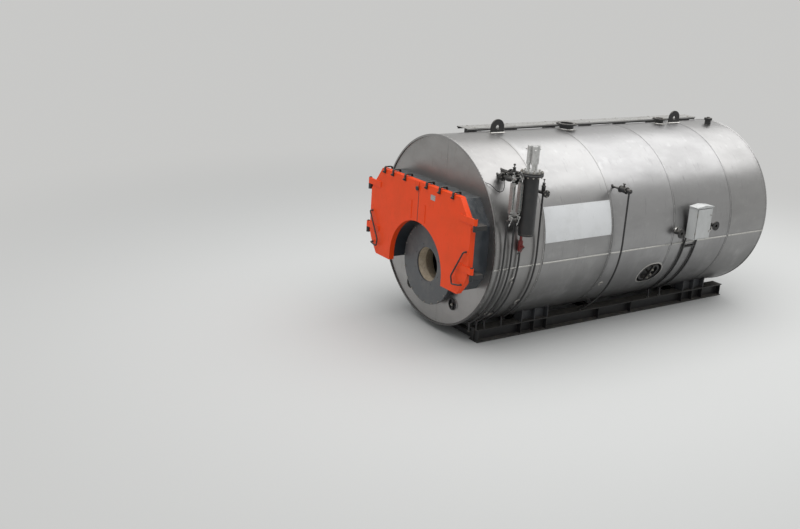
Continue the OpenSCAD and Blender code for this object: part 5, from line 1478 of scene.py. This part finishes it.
# feet of the legs, welded and bolted down on the beam
foot_half, foot_thick = (0.045, 0.030), 0.010
shape_mesh("stand_feet", [
    block((x - foot_half[0], leg_landing - foot_half[1], beam_height),
          (x + foot_half[0], leg_landing + foot_half[1], beam_height + foot_thick))
    for x in leg_backs], *black, 0.001)
bolt_up("stand_foot_bolts", [facing(up_way, (x + dx, leg_landing, beam_height + foot_thick))
                             for x in leg_backs for dx in (-0.033, 0.033)],
        small_bolts)
shape_mesh("pipe_feet", [
    turned([(0.034, 0.0), (0.034, 0.008), (0.020, 0.010), (0.020, 0.018), (0.018, 0.020)],
           (x, leg_landing, beam_height), up_way)
    for x in (*drain_places, sample_place)], *black)

# Side nozzles: short flanged stubs for the feed water, black all over, with a raised face for
# the gasket.
feed_face = -1.900
shape_mesh("feed_sealing_faces", [sealing_ring(at(x, feed_face, z), left_way, 0.032, 0.061)
                                  for x, z in feed_places], *black)
weld_on("feed_flange_welds", [ring_of(28, at(x, feed_face + 0.023, z), 0.040, right_way)
                              for x, z in feed_places], *black,
        0.008, 0.005, closed=True)

# Sign plate: a rolled sheet in plain white enamel, held by rivets along its edges, with the
# sheet's own slight waviness. It carries nothing.
sign_white = surface("sign_white", (0.69, 0.695, 0.70), 0.30, eased=0.001)
film(sign_white, 0.35, 0.4, 0.7, (0.63, 0.635, 0.635), 0.38, detail=5)
film(sign_white, 0.03, 0.64, 0.82, (0.46, 0.45, 0.43), 0.5, stretch=(1, 4, 9), shift=2)
grain(sign_white, 0.3, 0.002, detail=1.5)
dress(["sign_plate"], sign_white)
rivets_front, rivets_back, rivet_lift = -2.447, -0.889, 0.0043
sign_low, sign_high = 3.6, 24.5
sign_runs = [[on_jacket(x, math.radians(sign_low + (sign_high - sign_low)
                                        * (0.04 + 0.92 * i / 12)), rivet_lift)
              for i in range(13)] for x in (rivets_front, rivets_back)]
sign_runs += [[on_jacket(rivets_front + (rivets_back - rivets_front) * i / 8, math.radians(angle),
                         rivet_lift) for i in range(9)]
              for angle in (sign_low + 0.75, sign_high - 0.75)]
screw_down("sign_rivets", sign_runs, 0.195, 0.011, 0.004)

# Rear end: the smokebox carries two cleaning doors with bent grips, held by nuts, the flue stub
# and, below, an insulated access door under a ring of nuts. Seams are welded, edges folded.
box_back = 3.795
door_skin, grip_skin = box_back + 0.040, box_back + 0.085
cleaning_nuts = (1.720, 2.025, 2.330)
access_height, access_face, access_circle = 1.070, 3.619, 0.266
door_bolts, grips = [], []
for side in (1, -1):
    y0, y1 = sorted((side * 0.620, side * 1.180))
    door_bolts += [facing(rear_way, (door_skin, y, z)) for z in cleaning_nuts
                   for y in (y0 + 0.035, y1 - 0.035)]
    grip = [(x, side * 0.900, z) for x, z in (
        (door_skin, 1.930), (grip_skin - 0.010, 1.935), (grip_skin, 1.960), (grip_skin, 2.090),
        (grip_skin - 0.010, 2.115), (door_skin, 2.120))]
    grips.append(bar(eased_path(grip, 5), 0.008, 10))
door_bolts += circle_of(16, (access_face, 0, access_height), access_circle, rear_way)
bolt_up("rear_door_nuts", door_bolts, (0.024, 0.012, 0.032, 0.003, 0.014, 0.006))
shape_mesh("rear_door_grips", grips, *black)
flue_face, flue_height, flue_radius = 3.945, 2.130, 0.380
weld_on("rear_welds", [ring_of(90, (x, 0, flue_height), flue_radius + 0.001, rear_way)
                       for x in (box_back + 0.001, flue_face - 0.015)],
        smokebox_enamel, "smokebox_paint", 0.010, 0.008, closed=True)
